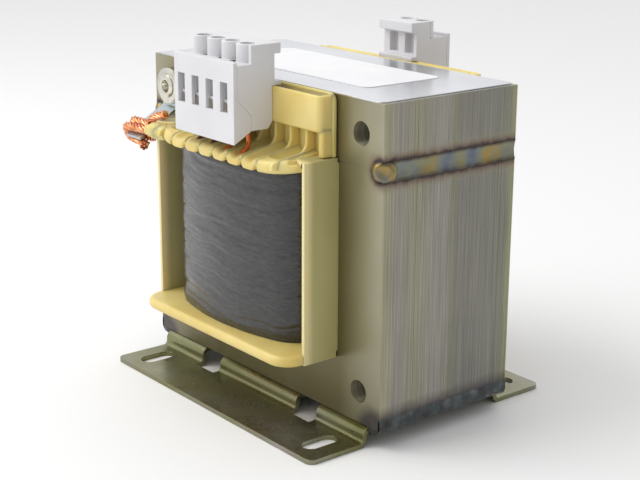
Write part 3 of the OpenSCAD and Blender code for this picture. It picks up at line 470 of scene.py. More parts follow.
def eased(node, name, finish, slot, width, crease=30, cuts=2):
    """A piece with the shape of a CAD node and its sharp edges slightly rounded."""
    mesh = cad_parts[node].data.copy()
    mesh.materials.clear()
    body = bmesh.new()
    body.from_mesh(mesh)
    bmesh.ops.remove_doubles(body, verts=body.verts, dist=0.002 * MM)
    bmesh.ops.dissolve_limit(body, angle_limit=math.radians(0.6), verts=body.verts, edges=body.edges)
    sharp = [e for e in body.edges if len(e.link_faces) == 2 and e.calc_face_angle() > math.radians(crease)]
    bmesh.ops.bevel(body, geom=sharp, offset=width * MM, segments=cuts, profile=0.6, affect="EDGES",
                    clamp_overlap=False, loop_slide=True)
    body.to_mesh(mesh)
    body.free()
    piece = new_piece(name, mesh, finish, slot, node, crease=50)
    shade = piece.modifiers.new("even_shading", "WEIGHTED_NORMAL")
    shade.keep_sharp = True
    return piece


passivated, tree, shader = new_finish("olive_passivated_zinc", (0.22, 0.22, 0.11), 0.3, 0.85)
drift = mottle(tree, 0.045, (1, 0.6, 1), 4.0, shift=9.0)
olive = tones(
    tree, drift, (0.3, (0.17, 0.17, 0.07)), (0.45, (0.23, 0.235, 0.12)), (0.55, (0.27, 0.27, 0.2)),
    (0.68, (0.42, 0.43, 0.39))
)
blush = tones(tree, mottle(tree, 0.08, shift=12.0), (0.4, (0.5, 0.5, 0.5)), (0.6, (0.56, 0.48, 0.55)))
olive = layered(tree, 0.6, olive, blush, "OVERLAY")
tree.links.new(olive, shader.inputs["Base Color"])
tree.links.new(between(tree, mottle(tree, 0.2, shift=2.0), 0.3, 0.7, 0.2, 0.38), shader.inputs["Roughness"])
relief(tree, shader, mottle(tree, 1.5, (1, 0.25, 1), 2.0), 0.02, 0.3)
eased("mounting_bracket", "foot_bracket", passivated, "passivated_steel", 0.12)

# --- Coil former and side covers ---
# Moulded in yellow, slightly translucent nylon: the tube on the middle leg, the window
# flanges, the comb that leads the wires and the rails that carry the terminal blocks.
# The two thin covers clip on at the sides and close the coil off from the outer legs.

nylon, tree, shader = new_finish("yellow_nylon", (0.78, 0.66, 0.27), 0.38)
cloudy = tones(
    tree, mottle(tree, 0.07, detail=2.0, shift=1.0), (0.35, (0.68, 0.52, 0.16)), (0.65, (0.76, 0.63, 0.25))
)
tree.links.new(cloudy, shader.inputs["Base Color"])
shader.inputs["Subsurface Weight"].default_value = 0.5
shader.inputs["Subsurface Radius"].default_value = (1.0, 0.75, 0.3)
shader.inputs["Subsurface Scale"].default_value = 2.5 * MM
relief(tree, shader, mottle(tree, 0.4, shift=3.0), 0.06, 0.3)

WALL_BACK = HALF_STACK + 0.3
FLANGE_SIDE = 30.7
PITCH = 6.1
COMB_UP = SEAM_UP + 2.4
COMB_REACH = 14.9
COMB_T = 3.2
COMB_SLOPE = math.radians(10)
CORNER_R = 12.5
RAIL_T = 1.2


def rounded(corners, steps=5):
    """A closed outline from corners given as (x, y, radius)."""
    loop = []
    for i, (x, y, r) in enumerate(corners):
        corner = Vector((x, y))
        if not r:
            loop.append(corner)
            continue
        to_last = (Vector(corners[i - 1][:2]) - corner).normalized()
        to_next = (Vector(corners[(i + 1) % len(corners)][:2]) - corner).normalized()
        half = to_last.angle(to_next) / 2
        middle = corner + (to_last + to_next).normalized() * (r / math.sin(half))
        start = corner + to_last * (r / math.tan(half)) - middle
        end = corner + to_next * (r / math.tan(half)) - middle
        turn = start.angle_signed(end)
        loop += [middle + Matrix.Rotation(-turn * k / steps, 2) @ start for k in range(steps + 1)]
    return loop


def slab(low, high, r, steps=3):
    """Profile of a slab with rounded rims, as (how far drawn in, height)."""
    turns = [math.pi / 2 * k / steps for k in range(steps + 1)]
    return [(r * (1 - math.sin(a)), low + r * (1 - math.cos(a))) for a in turns] + \
        [(r * (1 - math.cos(a)), high - r * (1 - math.sin(a))) for a in turns]


def lofted(skin, outline, profile, place, ring=False):
    """Rings of an outline, or of a plan that takes how far it is drawn in, along a profile."""
    plan = outline if callable(outline) else lambda inset: drawn_in(outline, inset)
    rings = [[skin.verts.new(place(p, height)) for p in plan(inset)] for inset, height in profile]
    for a, b in zip(rings, rings[1:] + (rings[:1] if ring else [])):
        for i in range(len(a)):
            k = (i + 1) % len(a)
            skin.faces.new([a[i], a[k], b[k], b[i]])
    if not ring:
        skin.faces.new(list(reversed(rings[0])))
        skin.faces.new(rings[-1])


def flat_on(turn):
    """Places a plan outline at a height; turn is 1 in front and -1 behind."""
    return lambda p, height: spot(turn * p.x, turn * p.y, height)


def finished(name, skin):
    """A mesh with its faces turned outwards."""
    bmesh.ops.recalc_face_normals(skin, faces=skin.faces)
    mesh = bpy.data.meshes.new(name)
    skin.to_mesh(mesh)
    skin.free()
    return mesh


def rim_plan(inset):
    """Outline of the lower rim, drawn in at its front and ends but not beside the covers."""
    side, front, r = 32 - inset, inset - 38.4, 6 - inset
    return rounded([
        (-FLANGE_SIDE, -WALL_BACK, 0), (-FLANGE_SIDE, -32.1, 0), (-side, -32.1, 0), (-side, front, r),
        (side, front, r), (side, -32.1, 0), (FLANGE_SIDE, -32.1, 0), (FLANGE_SIDE, -WALL_BACK, 0),
    ], 10)


def comb_front(x):
    """How far the comb reaches down its slope, with a round corner at each end and a
    rounded tongue at each open gutter."""
    if abs(x) > 3 * PITCH:
        return COMB_REACH - CORNER_R + math.sqrt(
            max(0.0, CORNER_R ** 2 - (abs(x) - FLANGE_SIDE + CORNER_R) ** 2)
        )
    off = abs((abs(x) % PITCH) - PITCH / 2) / (PITCH / 2)
    return COMB_REACH + 0.35 - 0.9 * off ** 5


def comb_floor(x, d, closed):
    """Height of the comb's upper face, in its sloping frame."""
    off = abs((abs(x) % PITCH) - PITCH / 2)
    dip = math.sqrt(max(0.0, 2.6 ** 2 - off ** 2)) - 2.6
    if abs(x) < 3 * PITCH:
        depth = 1.9 - 0.075 * d
        if closed:
            depth *= 1 - 0.75 * min(1.0, max(0.0, (d - 7) / 2.5))
        return min(-0.12, -depth - dip)
    if abs(x) < 4 * PITCH:
        end = min(1.0, max(0.0, (COMB_REACH - 3.4 - d) / 1.8))
        return min(-0.02, (-1.9 - dip) * end * end * (3 - 2 * end))
    end = min(1.0, max(0.0, (COMB_REACH - 4.6 - d) / 1.2))
    return min(-0.02, -0.9 * end * max(0.0, 1 - ((abs(x) - 4 * PITCH - 1.25) / 0.95) ** 2))


def comb_under(x):
    """Height of the comb's underside: scalloped under the open gutters."""
    if abs(x) > 3 * PITCH:
        return -COMB_T
    off = abs((abs(x) % PITCH) - PITCH / 2)
    over = max(0.0, off - PITCH / 2 + 1.9)
    return -2.9 + (1.9 - math.sqrt(max(0.0, 1.9 ** 2 - over ** 2)))


def on_comb(turn, x, d, h):
    """A point of the comb's sloping frame; d runs down the slope, h stands square."""
    back = -WALL_BACK - d * math.cos(COMB_SLOPE) - h * math.sin(COMB_SLOPE)
    up = COMB_UP - d * math.sin(COMB_SLOPE) + h * math.cos(COMB_SLOPE)
    if abs(x) > 26.4:
        up = min(up, SEAM_UP - 0.4)
    return spot(turn * x, turn * min(back, -WALL_BACK), up)


def comb_skin(skin, turn):
    """The comb as one closed skin, column by column across."""
    xs = [-3 * PITCH + 6 * PITCH * i / 168 for i in range(1, 168)]
    ends = [3 * PITCH + (FLANGE_SIDE - 3 * PITCH) * math.sin(math.pi / 2 * i / 34) for i in range(35)]
    xs = [-x for x in reversed(ends)] + xs + ends
    columns = []
    for x in xs:
        front, under = comb_front(x), comb_under(x)
        closed = -2 * PITCH < x < 0
        open_mouth = abs(x) < 3 * PITCH
        lip = 1.9 if open_mouth else 1.5
        stop = max(0.3, front - lip)
        rim_top = comb_floor(x, stop, closed)
        drop = max(0.2, rim_top - under - (0.5 if open_mouth else 1.2))
        line = [(stop * i / 34, comb_floor(x, stop * i / 34, closed)) for i in range(35)]
        for i in range(1, 8):
            a = math.pi / 2 * i / 7
            line.append((stop + (front - stop) * math.sin(a), rim_top - drop * (1 - math.cos(a))))
        belly = rim_top - drop - under
        for i in range(1, 5):
            a = math.pi / 2 * i / 4
            line.append((front - min(belly, front) * (1 - math.cos(a)), rim_top - drop - belly * math.sin(a)))
        line += [((front - belly) * (1 - i / 5), under) for i in range(1, 6)]
        columns.append([skin.verts.new(on_comb(turn, x, d, h)) for d, h in line])
    for a, b in zip(columns, columns[1:]):
        for i in range(len(a)):
            k = (i + 1) % len(a)
            skin.faces.new([a[i], a[k], b[k], b[i]])
    skin.faces.new(columns[0])
    skin.faces.new(list(reversed(columns[-1])))


skin = bmesh.new()
tube_plan = rounded([(-17.5, -23, 1), (17.5, -23, 1), (17.5, 23, 1), (-17.5, 23, 1)])
lofted(
    skin, tube_plan, [(0, LEG), (0, SEAM_UP - 0.3), (RAIL_T, SEAM_UP - 0.3), (RAIL_T, LEG)], flat_on(1),
    ring=True
)
for side in (-1, 1):
    reach = sorted((side * 17.4, side * FLANGE_SIDE))
    flange_plan = rounded([(reach[0], -23, 0), (reach[1], -23, 0), (reach[1], 23, 0), (reach[0], 23, 0)])
    lofted(skin, flange_plan, slab(LEG, LEG + 1.4, 0.2, 1), flat_on(1))
    lofted(skin, flange_plan, slab(SEAM_UP - 1.7, SEAM_UP - 0.3, 0.2, 1), flat_on(1))
wall_plan = rounded([
    (-FLANGE_SIDE, SEAM_UP, 0), (FLANGE_SIDE, SEAM_UP, 0), (FLANGE_SIDE, SEAM_UP + 1, 0),
    (31.5, SEAM_UP + 1, 0),
    (31.5, 80.3, 2), (-31.5, 80.3, 2), (-31.5, SEAM_UP + 1, 0), (-FLANGE_SIDE, SEAM_UP + 1, 0),
])
rail_plan = rounded(
    [(-31, -WALL_BACK - 0.1, 0), (-31, -26.8, 1.6), (31, -26.8, 1.6), (31, -WALL_BACK - 0.1, 0)], 7
)
rail_profile = [
    (0.7, 71.1), (0.35, 71.17), (0.1, 71.4), (0, 71.8), (0, 79.4), (0.08, 79.68), (0.28, 79.86),
    (0.55, 79.9)
]
rail_profile += [(0.9, 79.82), (1.1, 79.6), (RAIL_T, 79.3), (RAIL_T, 72.3)]
rib_foot = COMB_UP - 3.0
rib_front = -36.0
rib_top = COMB_UP + (rib_front + WALL_BACK) * math.tan(COMB_SLOPE)
rib_side = rounded([
    (-WALL_BACK - 0.1, rib_foot, 0), (-WALL_BACK - 0.1, 71.6, 0), (-25.6, 71.6, 0),
    (-25.6, COMB_UP - 0.67, 2.6),
    (rib_front, rib_top, 0.9), (rib_front - 0.15, rib_top - 1.5, 0), (-30, rib_foot - 1.2, 0),
], 6)
for turn in (1, -1):
    lofted(skin, rim_plan, slab(LEG - 1.5, LEG + 1.4, 1.25, 5), flat_on(turn))
    lofted(
        skin, wall_plan, slab(-WALL_BACK - RAIL_T, -WALL_BACK, 0.35),
        lambda p, h: spot(turn * p.x, turn * h, p.y)
    )
    lofted(skin, rail_plan, rail_profile, flat_on(turn))
    for k in range(-4, 5):
        lofted(
            skin, rib_side, slab(k * PITCH - 0.5, k * PITCH + 0.5, 0.38),
            lambda p, h: spot(turn * h, turn * p.x, p.y)
        )
    for side in (-1, 1):
        post = rounded([
            (side * 30.1 - 0.9, -25.9, 0.8), (side * 30.1 + 0.9, -25.9, 0.8),
            (side * 30.1 + 0.9, -22, 0), (side * 30.1 - 0.9, -22, 0)
        ])
        lofted(skin, post, slab(SEAM_UP + 1, 72, 0.3), flat_on(turn))
    comb_skin(skin, turn)


def smooth_path(points, steps):
    """A smooth line through points (a Catmull-Rom curve)."""
    ends = [2 * points[0] - points[1], *points, 2 * points[-1] - points[-2]]
    path = []
    for a, b, c, d in zip(ends, ends[1:], ends[2:], ends[3:]):
        for i in range(steps):
            t = i / steps
            path.append(
                0.5 * (2 * b + (c - a) * t + (2 * a - 5 * b + 4 * c - d) * t * t
                       + (3 * b - a - 3 * c + d) * t ** 3)
            )
    return path + [points[-1]]


def add_finger(skin, turn, line):
    """A tapering finger, a row of rings round a line of (point, radius)."""
    points = smooth_path([spot(turn * x, turn * y, z) for (x, y, z), _ in line], 6)
    sizes = smooth_path([Vector((r, 0, 0)) for _, r in line], 6)
    rings = []
    across = (points[1] - points[0]).orthogonal().normalized()
    for i, p in enumerate(points):
        heading = (points[min(i + 1, len(points) - 1)] - points[max(i - 1, 0)]).normalized()
        across = (across - heading * across.dot(heading)).normalized()
        up = heading.cross(across)
        turns = [math.tau * k / 20 for k in range(20)]
        rings.append(
            [skin.verts.new(p + (across * math.cos(a) + up * math.sin(a)) * sizes[i].x * MM) for a in turns]
        )
    for a, b in zip(rings, rings[1:]):
        for i in range(20):
            k = (i + 1) % 20
            skin.faces.new([a[i], a[k], b[k], b[i]])
    skin.faces.new(list(reversed(rings[0])))
    skin.faces.new(rings[-1])


for turn in (1, -1):
    add_finger(skin, turn, [
        ((-24.5, -33.4, 62.6), 1.7), ((-27.0, -33.7, 62.7), 2.2), ((-29.4, -33.8, 62.6), 2.0),
        ((-31.2, -33.8, 62.4), 1.65),
        ((-32.8, -33.8, 62.35), 1.45), ((-33.6, -33.8, 62.3), 1.0), ((-33.9, -33.8, 62.3), 0.3),
    ])
    boss = [
        Vector((-28.2 + 2.6 * math.cos(math.tau * i / 24), -33.5 + 2.6 * math.sin(math.tau * i / 24)))
        for i in range(24)
    ]
    lofted(skin, boss, slab(61.0, 64.9, 1.0, 4), flat_on(turn))
new_piece("former", finished("former", skin), nylon, "former_plastic", "coil_former", crease=40)

cover_nylon, tree, shader = new_finish("thin_yellow_nylon", (0.5, 0.45, 0.2), 0.4)
near_edge = between(tree, sum_of(tree, "ABSOLUTE", along(tree, "X"), 0.0), 29.0, 31.0)
thin = tones(
    tree, mottle(tree, 0.06, (1, 1, 0.4), shift=8.0), (0.35, (0.42, 0.37, 0.15)), (0.65, (0.5, 0.46, 0.22))
)
tree.links.new(layered(tree, near_edge, thin, (0.78, 0.68, 0.36)), shader.inputs["Base Color"])
shader.inputs["Subsurface Weight"].default_value = 0.3
shader.inputs["Subsurface Radius"].default_value = (1.0, 0.7, 0.25)
shader.inputs["Subsurface Scale"].default_value = 1.5 * MM
for word in ("right", "left"):
    eased("side_cover_" + word, "cover_" + word, cover_nylon, "former_plastic", 0.2)

# --- Winding and its tape ---
# The wire fills the window of the former in two layers with film between them. Black
# adhesive tape is wound over it, each turn lapping the last, and sags a little between
# its laps.

copper_finish, tree, shader = new_finish("enamelled_wire", (0.5, 0.17, 0.05), 0.3, 0.7)
turns = tree.nodes.new("ShaderNodeTexWave")
turns.bands_direction = "Z"
turns.inputs["Scale"].default_value = 0.5
tree.links.new(place_in_mm(tree), turns.inputs["Vector"])
tree.links.new(
    tones(tree, turns.outputs["Fac"], (0.2, (0.25, 0.07, 0.02)), (0.8, (0.6, 0.22, 0.07))),
    shader.inputs["Base Color"]
)
relief(tree, shader, turns.outputs["Fac"], 0.3)
film_finish, tree, shader = new_finish("layer_film", (0.6, 0.5, 0.25), 0.3)
tree.links.new(
    tones(tree, mottle(tree, 0.3), (0.3, (0.5, 0.4, 0.18)), (0.7, (0.65, 0.56, 0.3))),
    shader.inputs["Base Color"]
)


def wear(node, finish):
    """Gives a CAD node its finish."""
    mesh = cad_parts[node].data
    mesh.materials.clear()
    mesh.materials.append(finish)


wear("primary_winding", copper_finish)
wear("secondary_winding", copper_finish)
wear("layer_insulation", film_finish)

tape_lo, tape_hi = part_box("winding_tape")
tape_across = tape_hi.y / MM
tape_back = tape_hi.x / MM
tape_bulge = 2.3
tape_corner_r = 10.4
tape_low = tape_lo.z / MM - SEAT_UP
tape_high = tape_hi.z / MM - SEAT_UP
comb_slope = math.tan(math.radians(10))
comb_knee = 26.6


def winding_plan(inset, steps_arc=40, steps_corner=14):
    """Plan of the winding, with the way out at each point: a bulging front and rear
    that run into round corners."""
    r = tape_corner_r - inset
    a = tape_across - tape_corner_r
    b = tape_back - tape_bulge - tape_corner_r
    big_r = (a * a + tape_bulge ** 2) / (2 * tape_bulge) + r
    turn = math.asin(a / (big_r - r))
    y0 = big_r - b - r - tape_bulge
    half = []
    for i in range(steps_arc):
        w = turn * (2 * i / steps_arc - 1)
        half.append(
            (Vector((big_r * math.sin(w), y0 - big_r * math.cos(w))), Vector((math.sin(w), -math.cos(w))))
        )
    for i in range(steps_corner + 1):
        w = turn + (math.pi / 2 - turn) * i / steps_corner
        half.append(
            (Vector((a + r * math.sin(w), -b - r * math.cos(w))), Vector((math.sin(w), -math.cos(w))))
        )
    half += [(Vector((p.x, -p.y)), Vector((n.x, -n.y))) for p, n in reversed(half[steps_arc:])]
    return half + [(-p, -n) for p, n in half]


tape_laps = 6
lap_pitch = (tape_high - tape_low) / tape_laps
tape_rows = 150
plan = winding_plan(0)
inner_plan = winding_plan(0.8)
skin = bmesh.new()
columns = []
for i, ((p, out), (q, _)) in enumerate(zip(plan, inner_plan)):
    top = tape_high - max(0.0, abs(p.y) - comb_knee) * comb_slope
    turn = i / len(plan) * math.tau
    round_trip = Vector((math.cos(turn) * 3, math.sin(turn) * 3, 0))
    column = []
    for j in range(tape_rows + 1):
        up = tape_low + (top - tape_low) * j / tape_rows
        sag = 0.9 * (math.cos(2 * turn) - 0.3) * (abs(p.y) / tape_back) + 1.6 * noise.noise(
            round_trip * 0.7 + Vector((0, 0, up * 0.03))
        )
        phase = ((up - tape_low - sag) / lap_pitch + 0.35) % 1.0
        lap = 0.22 * (1 - phase) ** 0.6 if phase > 0.03 else 0.22 * phase / 0.03
        crease = 0.13 * noise.noise(Vector((p.x * 0.11, p.y * 0.11, (up - sag) * 0.9)))
        crease += 0.16 * noise.noise(Vector((p.x * 0.05, p.y * 0.05, (up - sag) * 0.35 + 9)))
        edge = max(0.0, 1 - min(j, tape_rows - j) / 4) * 0.3
        across, back = p + out * min(0.0, lap - 0.42 + crease - edge)
        column.append(skin.verts.new(spot(across, back, up)))
    for j in range(7):
        up = top + (tape_low - top) * j / 6
        column.append(skin.verts.new(spot(q.x, q.y, up)))
    columns.append(column)
for i, a in enumerate(columns):
    b = columns[(i + 1) % len(columns)]
    for j in range(len(a)):
        k = (j + 1) % len(a)
        skin.faces.new([a[j], b[j], b[k], a[k]])
bmesh.ops.recalc_face_normals(skin, faces=skin.faces)
mesh = bpy.data.meshes.new("tape_wrap")
skin.to_mesh(mesh)
skin.free()
tape_finish, tree, shader = new_finish("black_tape", (0.018, 0.018, 0.018), 0.3)
scuffs = mottle(tree, 0.5, (1, 1, 3), 5.0, shift=4.0)
tree.links.new(
    tones(tree, scuffs, (0.4, (0.016, 0.016, 0.017)), (0.75, (0.045, 0.045, 0.044))),
    shader.inputs["Base Color"]
)
tree.links.new(
    between(tree, mottle(tree, 0.12, (1, 1, 3), shift=6.0), 0.3, 0.7, 0.2, 0.42),
    shader.inputs["Roughness"]
)
shader.inputs["Coat Weight"].default_value = 0.4
shader.inputs["Coat Roughness"].default_value = 0.15
relief(tree, shader, mottle(tree, 0.45, (1, 1, 2.5), 4.0, shift=1.0), 0.15, 0.6)
new_piece("tape_wrap", mesh, tape_finish, "winding_tape", "winding_tape", crease=70)

# --- Terminal blocks ---
# Two-part housings moulded in light grey nylon: a body that clips on the rail of the
# former, and a cover over its front with one window for each wire.

block_finish, tree, shader = new_finish("grey_block_nylon", (0.66, 0.66, 0.68), 0.45)
tree.links.new(
    tones(tree, mottle(tree, 0.1, detail=2.0), (0.3, (0.64, 0.63, 0.645)), (0.7, (0.69, 0.69, 0.71))),
    shader.inputs["Base Color"]
)
shader.inputs["Subsurface Weight"].default_value = 0.15
shader.inputs["Subsurface Radius"].default_value = (1.0, 0.9, 0.8)
shader.inputs["Subsurface Scale"].default_value = 1.0 * MM
relief(tree, shader, mottle(tree, 3.0, shift=2.0), 0.02, 0.25)
for word in ("front", "rear"):
    eased("terminal_body_" + word, "block_body_" + word, block_finish, "terminal_plastic", 0.22)
    eased("terminal_cover_" + word, "block_cover_" + word, block_finish, "terminal_plastic", 0.16)

# --- Clamps: screws and cages ---
# Zinc-plated steel: slotted screws that stand in the towers and pull up square cages,
# which grip the wires from below.

screw_finish, tree, shader = new_finish("bright_zinc", (0.6, 0.6, 0.59), 0.28, 1.0)
tree.links.new(
    tones(tree, mottle(tree, 0.6), (0.3, (0.5, 0.5, 0.5)), (0.7, (0.66, 0.66, 0.64))),
    shader.inputs["Base Color"]
)
relief(tree, shader, mottle(tree, 2.5, shift=3.0), 0.02, 0.3)
for word in ("front", "rear"):
    eased("terminal_screws_" + word, "clamp_screws_" + word, screw_finish, "zinc_screw_steel", 0.12)
    wear("clamp_cages_" + word, screw_finish)

# --- Leads from the coil to the clamps ---
# The coil's own wires: two in a brown sleeve and the rest bare enamelled wire. Each comes
# up through the comb, lies back along its gutter and rises into its clamp.


def add_tube(skin, path, radius, sides=12):
    """A round wire along a path, closed at both ends."""
    rings = []
    heading = (path[1] - path[0]).normalized()
    across = heading.orthogonal().normalized()
    for i, p in enumerate(path):
        heading = (path[min(i + 1, len(path) - 1)] - path[max(i - 1, 0)]).normalized()
        across = (across - heading * across.dot(heading)).normalized()
        up = heading.cross(across)
        turns = [math.tau * k / sides for k in range(sides)]
        rings.append([skin.verts.new(p + (across * math.cos(a) + up * math.sin(a)) * radius) for a in turns])
    for a, b in zip(rings, rings[1:]):
        for k in range(sides):
            m = (k + 1) % sides
            skin.faces.new([a[k], a[m], b[m], b[k]])
    skin.faces.new(list(reversed(rings[0])))
    skin.faces.new(rings[-1])


pole_pitch = 6.1
block_shift = -0.4
gutter_floor = 3.2
gutter_line_up = 66.4
wall_back = 21.8
lead_rise_back = HALF_STACK + 12.3
clamp_back = 31.0
clamp_floor_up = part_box("clamp_cages_front")[0].z / MM - SEAT_UP


def comb_top(back):
    """Height of the comb's ribs at a depth in front of the core."""
    return gutter_line_up - (-back - wall_back) * comb_slope


def lead_points(gutter):
    """Route of one lead, from the coil through the comb to its clamp."""
    pole = gutter + block_shift
    back = -lead_rise_back
    up = comb_top(back)
    return [
        (gutter, back, up - gutter_floor / 0.985 + 0.2), (gutter, back, up - 1.5),
        (gutter, back + 0.6, up - 0.5),
        (gutter, back + 1.7, up + 0.2), ((gutter + pole) / 2, back + 2.6, up + 1.5),
        (pole, -clamp_back - 0.2, up + 3.6),
        (pole, -clamp_back, up + 5.5), (pole, -clamp_back, clamp_floor_up + 2.6),
    ]


def add_lead(skin, gutter, radius, side):
    """One lead; the rear ones are the front ones turned half round."""
    points = [spot(side * x, side * y, z) for x, y, z in lead_points(gutter)]
    add_tube(skin, smooth_path(points, 6), radius * MM)


sleeve_finish, tree, shader = new_finish("lead_sleeve", (0.16, 0.06, 0.03), 0.4)
tree.links.new(
    tones(tree, mottle(tree, 0.6), (0.3, (0.12, 0.045, 0.025)), (0.7, (0.2, 0.08, 0.04))),
    shader.inputs["Base Color"]
)
enamel_finish, tree, shader = new_finish("red_enamel", (0.7, 0.16, 0.03), 0.25, 0.5)
tree.links.new(
    tones(tree, mottle(tree, 0.8), (0.3, (0.6, 0.12, 0.02)), (0.7, (0.8, 0.22, 0.05))),
    shader.inputs["Base Color"]
)
for name, gutters, radius, side, finish, slot, node in (
    ("leads_sleeved", (-1.5, -0.5), 1.0, 1, sleeve_finish, "lead_sleeve", "sleeved_leads_front"),
    ("leads_bare_front", (0.5, 1.5), 0.6, 1, enamel_finish, "enamelled_copper", "bare_leads_front"),
    ("leads_bare_rear", (-0.5, 0.5), 0.6, -1, enamel_finish, "enamelled_copper", "bare_leads_rear"),
):
    skin = bmesh.new()
    for gutter in gutters:
        add_lead(skin, gutter * pole_pitch, radius, side)
    mesh = bpy.data.meshes.new(name)
    skin.to_mesh(mesh)
    skin.free()
    new_piece(name, mesh, finish, slot, node)

# --- Earth point: tag, washer, rivet and strand ---
# A plated tag is held on the core's upper left corner by a nickel-plated washer and a
# tubular rivet. The screen's copper strand is wound twice round the tag's bent end.

EARTH = Vector((-(CORE_SIDE - HOLE_INSET), -HALF_STACK, CORE_TOP - HOLE_INSET))
tag_t = 0.8
washer_t = 0.9
washer_r = 5.0
rivet_r = 2.1

tag_finish, tree, shader = new_finish("bluish_zinc", (0.45, 0.52, 0.56), 0.3, 0.8)
tree.links.new(
    tones(
        tree, mottle(tree, 0.35, shift=5.0), (0.35, (0.38, 0.47, 0.53)), (0.55, (0.5, 0.56, 0.58)),
        (0.7, (0.52, 0.5, 0.36))
    ),
    shader.inputs["Base Color"]
)
relief(tree, shader, mottle(tree, 1.0), 0.08, 0.5)
eased("earth_tag", "tag", tag_finish, "zinc_tag_steel", 0.12)

nickel, tree, shader = new_finish("nickel_plate", (0.66, 0.64, 0.55), 0.25, 1.0)
tree.links.new(
    tones(tree, mottle(tree, 0.5, shift=2.0), (0.3, (0.58, 0.56, 0.46)), (0.7, (0.74, 0.73, 0.68))),
    shader.inputs["Base Color"]
)
relief(tree, shader, mottle(tree, 1.5), 0.03, 0.3)


def turned(name, profile, finish, slot, node, steps=56):
    """A ring turned about the rivet's axis; the profile is (radius, how far forward)."""
    skin = bmesh.new()
    rings = []
    for radius, forward in profile:
        turns = [math.tau * i / steps for i in range(steps)]
        rings.append(
            [
                skin.verts.new(
                    spot(EARTH.x + radius * math.cos(a), EARTH.y - forward, EARTH.z + radius * math.sin(a))
                ) for a in turns
            ]
        )
    for a, b in zip(rings, rings[1:] + rings[:1]):
        for i in range(steps):
            k = (i + 1) % steps
            skin.faces.new([a[i], a[k], b[k], b[i]])
    bmesh.ops.recalc_face_normals(skin, faces=skin.faces)
    mesh = bpy.data.meshes.new(name)
    skin.to_mesh(mesh)
    skin.free()
    return new_piece(name, mesh, finish, slot, node)


bore_r = rivet_r + 0.1
turned("washer", [
    (bore_r, tag_t), (bore_r, tag_t + washer_t - 0.1), (bore_r + 0.1, tag_t + washer_t),
    (washer_r - 0.35, tag_t + washer_t),
    (washer_r - 0.12, tag_t + washer_t - 0.1), (washer_r, tag_t + washer_t - 0.35),
    (washer_r, tag_t + 0.2), (washer_r - 0.15, tag_t),
], nickel, "nickel_plate", "earth_washer")
face = tag_t + washer_t
tail = -2 * HALF_STACK
pipe_r = rivet_r - 0.5
turned("tubular_rivet", [
    (pipe_r, tail - 0.6), (pipe_r, face + 0.25), (pipe_r + 0.15, face + 0.55), (pipe_r + 0.5, face + 0.7),
    (pipe_r + 1.0, face + 0.62), (rivet_r + 1.05, face + 0.3), (rivet_r + 1.1, face + 0.02), (rivet_r, face),
    (rivet_r, tail), (rivet_r + 1.7, tail - 0.02), (rivet_r + 1.5, tail - 0.4), (pipe_r + 0.8, tail - 0.7),
    (pipe_r + 0.2, tail - 0.68),
], nickel, "nickel_plate", "earth_rivet")

strand_r = 1.2
tag_half = 3.5
tag_slope = math.radians(30)
tag_end = 14.0
tag_fold = Vector((EARTH.x, EARTH.y - tag_t, EARTH.z - washer_r - 0.4))


def on_tag(point):
    """A point given as (across, up the slope, square to it), on the tag's bent end."""
    x, y, z = point
    return spot(tag_fold.x + x, tag_fold.y + y * math.cos(tag_slope) - z * math.sin(tag_slope),
                tag_fold.z + y * math.sin(tag_slope) + z * math.cos(tag_slope))


def wrap(side, over, under, mid, y0, y1):
    """One turn over the top of the tag, round its left edge and back under it."""
    return [
        (side - 1.3, y0, over), (0, y0 - 0.2, over), (1.3 - side, y0 - 0.3, over),
        (0.3 - side, y0 - 0.4, over - 0.5),
        (-side, y0 - 0.6, mid), (0.3 - side, y0 - 0.8, under + 0.5), (1.3 - side, y0 - 0.9, under),
        (0, y1, under),
        (side - 1.3, y1 - 0.3, under),
    ]


side = tag_half + strand_r + 0.2
over = strand_r + 0.2
under = -tag_t - over
mid = -tag_t / 2
turn_1 = -tag_end + 4.7
turn_2 = turn_1 - 2.8
strand_route = [
    (side + 5.7, turn_1 + 2.3, over + 2.7), (side + 2.6, turn_1 + 1.6, over + 2.3),
    (side, turn_1 + 0.8, over + 1.3),
    *wrap(side, over, under, mid, turn_1, turn_1 - 1.1),
    (side - 0.3, turn_1 - 1.8, under + 0.5), (side, turn_1 - 2.1, mid),
    (side - 0.3, turn_1 - 2.3, over - 0.5),
    *wrap(side, over, under, mid, turn_2 + 0.2, turn_2 - 0.9),
    (side - 1, turn_2 - 2, under + 0.3), (side + 1.8, turn_2 - 3.2, under + 1.2),
]
middle_line = smooth_path([on_tag(p) for p in strand_route], 8)
skin = bmesh.new()
wire_r = 0.36
lay = 9.0
for k in range(7):
    path = []
    length = 0.0
    across = (middle_line[1] - middle_line[0]).orthogonal().normalized()
    for i, p in enumerate(middle_line):
        heading = (middle_line[min(i + 1, len(middle_line) - 1)] - middle_line[max(i - 1, 0)]).normalized()
        across = (across - heading * across.dot(heading)).normalized()
        length += (p - middle_line[i - 1]).length / MM if i else 0.0
        a = math.tau * (k / 6 + length / lay)
        out = 0.0 if k == 6 else (strand_r - wire_r) * (1 + 0.12 * noise.noise((length * 0.3, k * 3.0, 0)))
        path.append(p + (across * math.cos(a) + heading.cross(across) * math.sin(a)) * out * MM)
    add_tube(skin, path, wire_r * MM, 8)
mesh = bpy.data.meshes.new("earth_strand")
skin.to_mesh(mesh)
skin.free()
bright_copper, tree, shader = new_finish("bright_copper", (0.8, 0.36, 0.18), 0.25, 1.0)
tree.links.new(
    tones(
        tree, mottle(tree, 0.7, shift=3.0), (0.3, (0.6, 0.2, 0.08)), (0.6, (0.85, 0.4, 0.22)),
        (0.75, (0.9, 0.55, 0.38))
    ),
    shader.inputs["Base Color"]
)
new_piece("earth_strand", mesh, bright_copper, "bare_copper", "earth_wire")

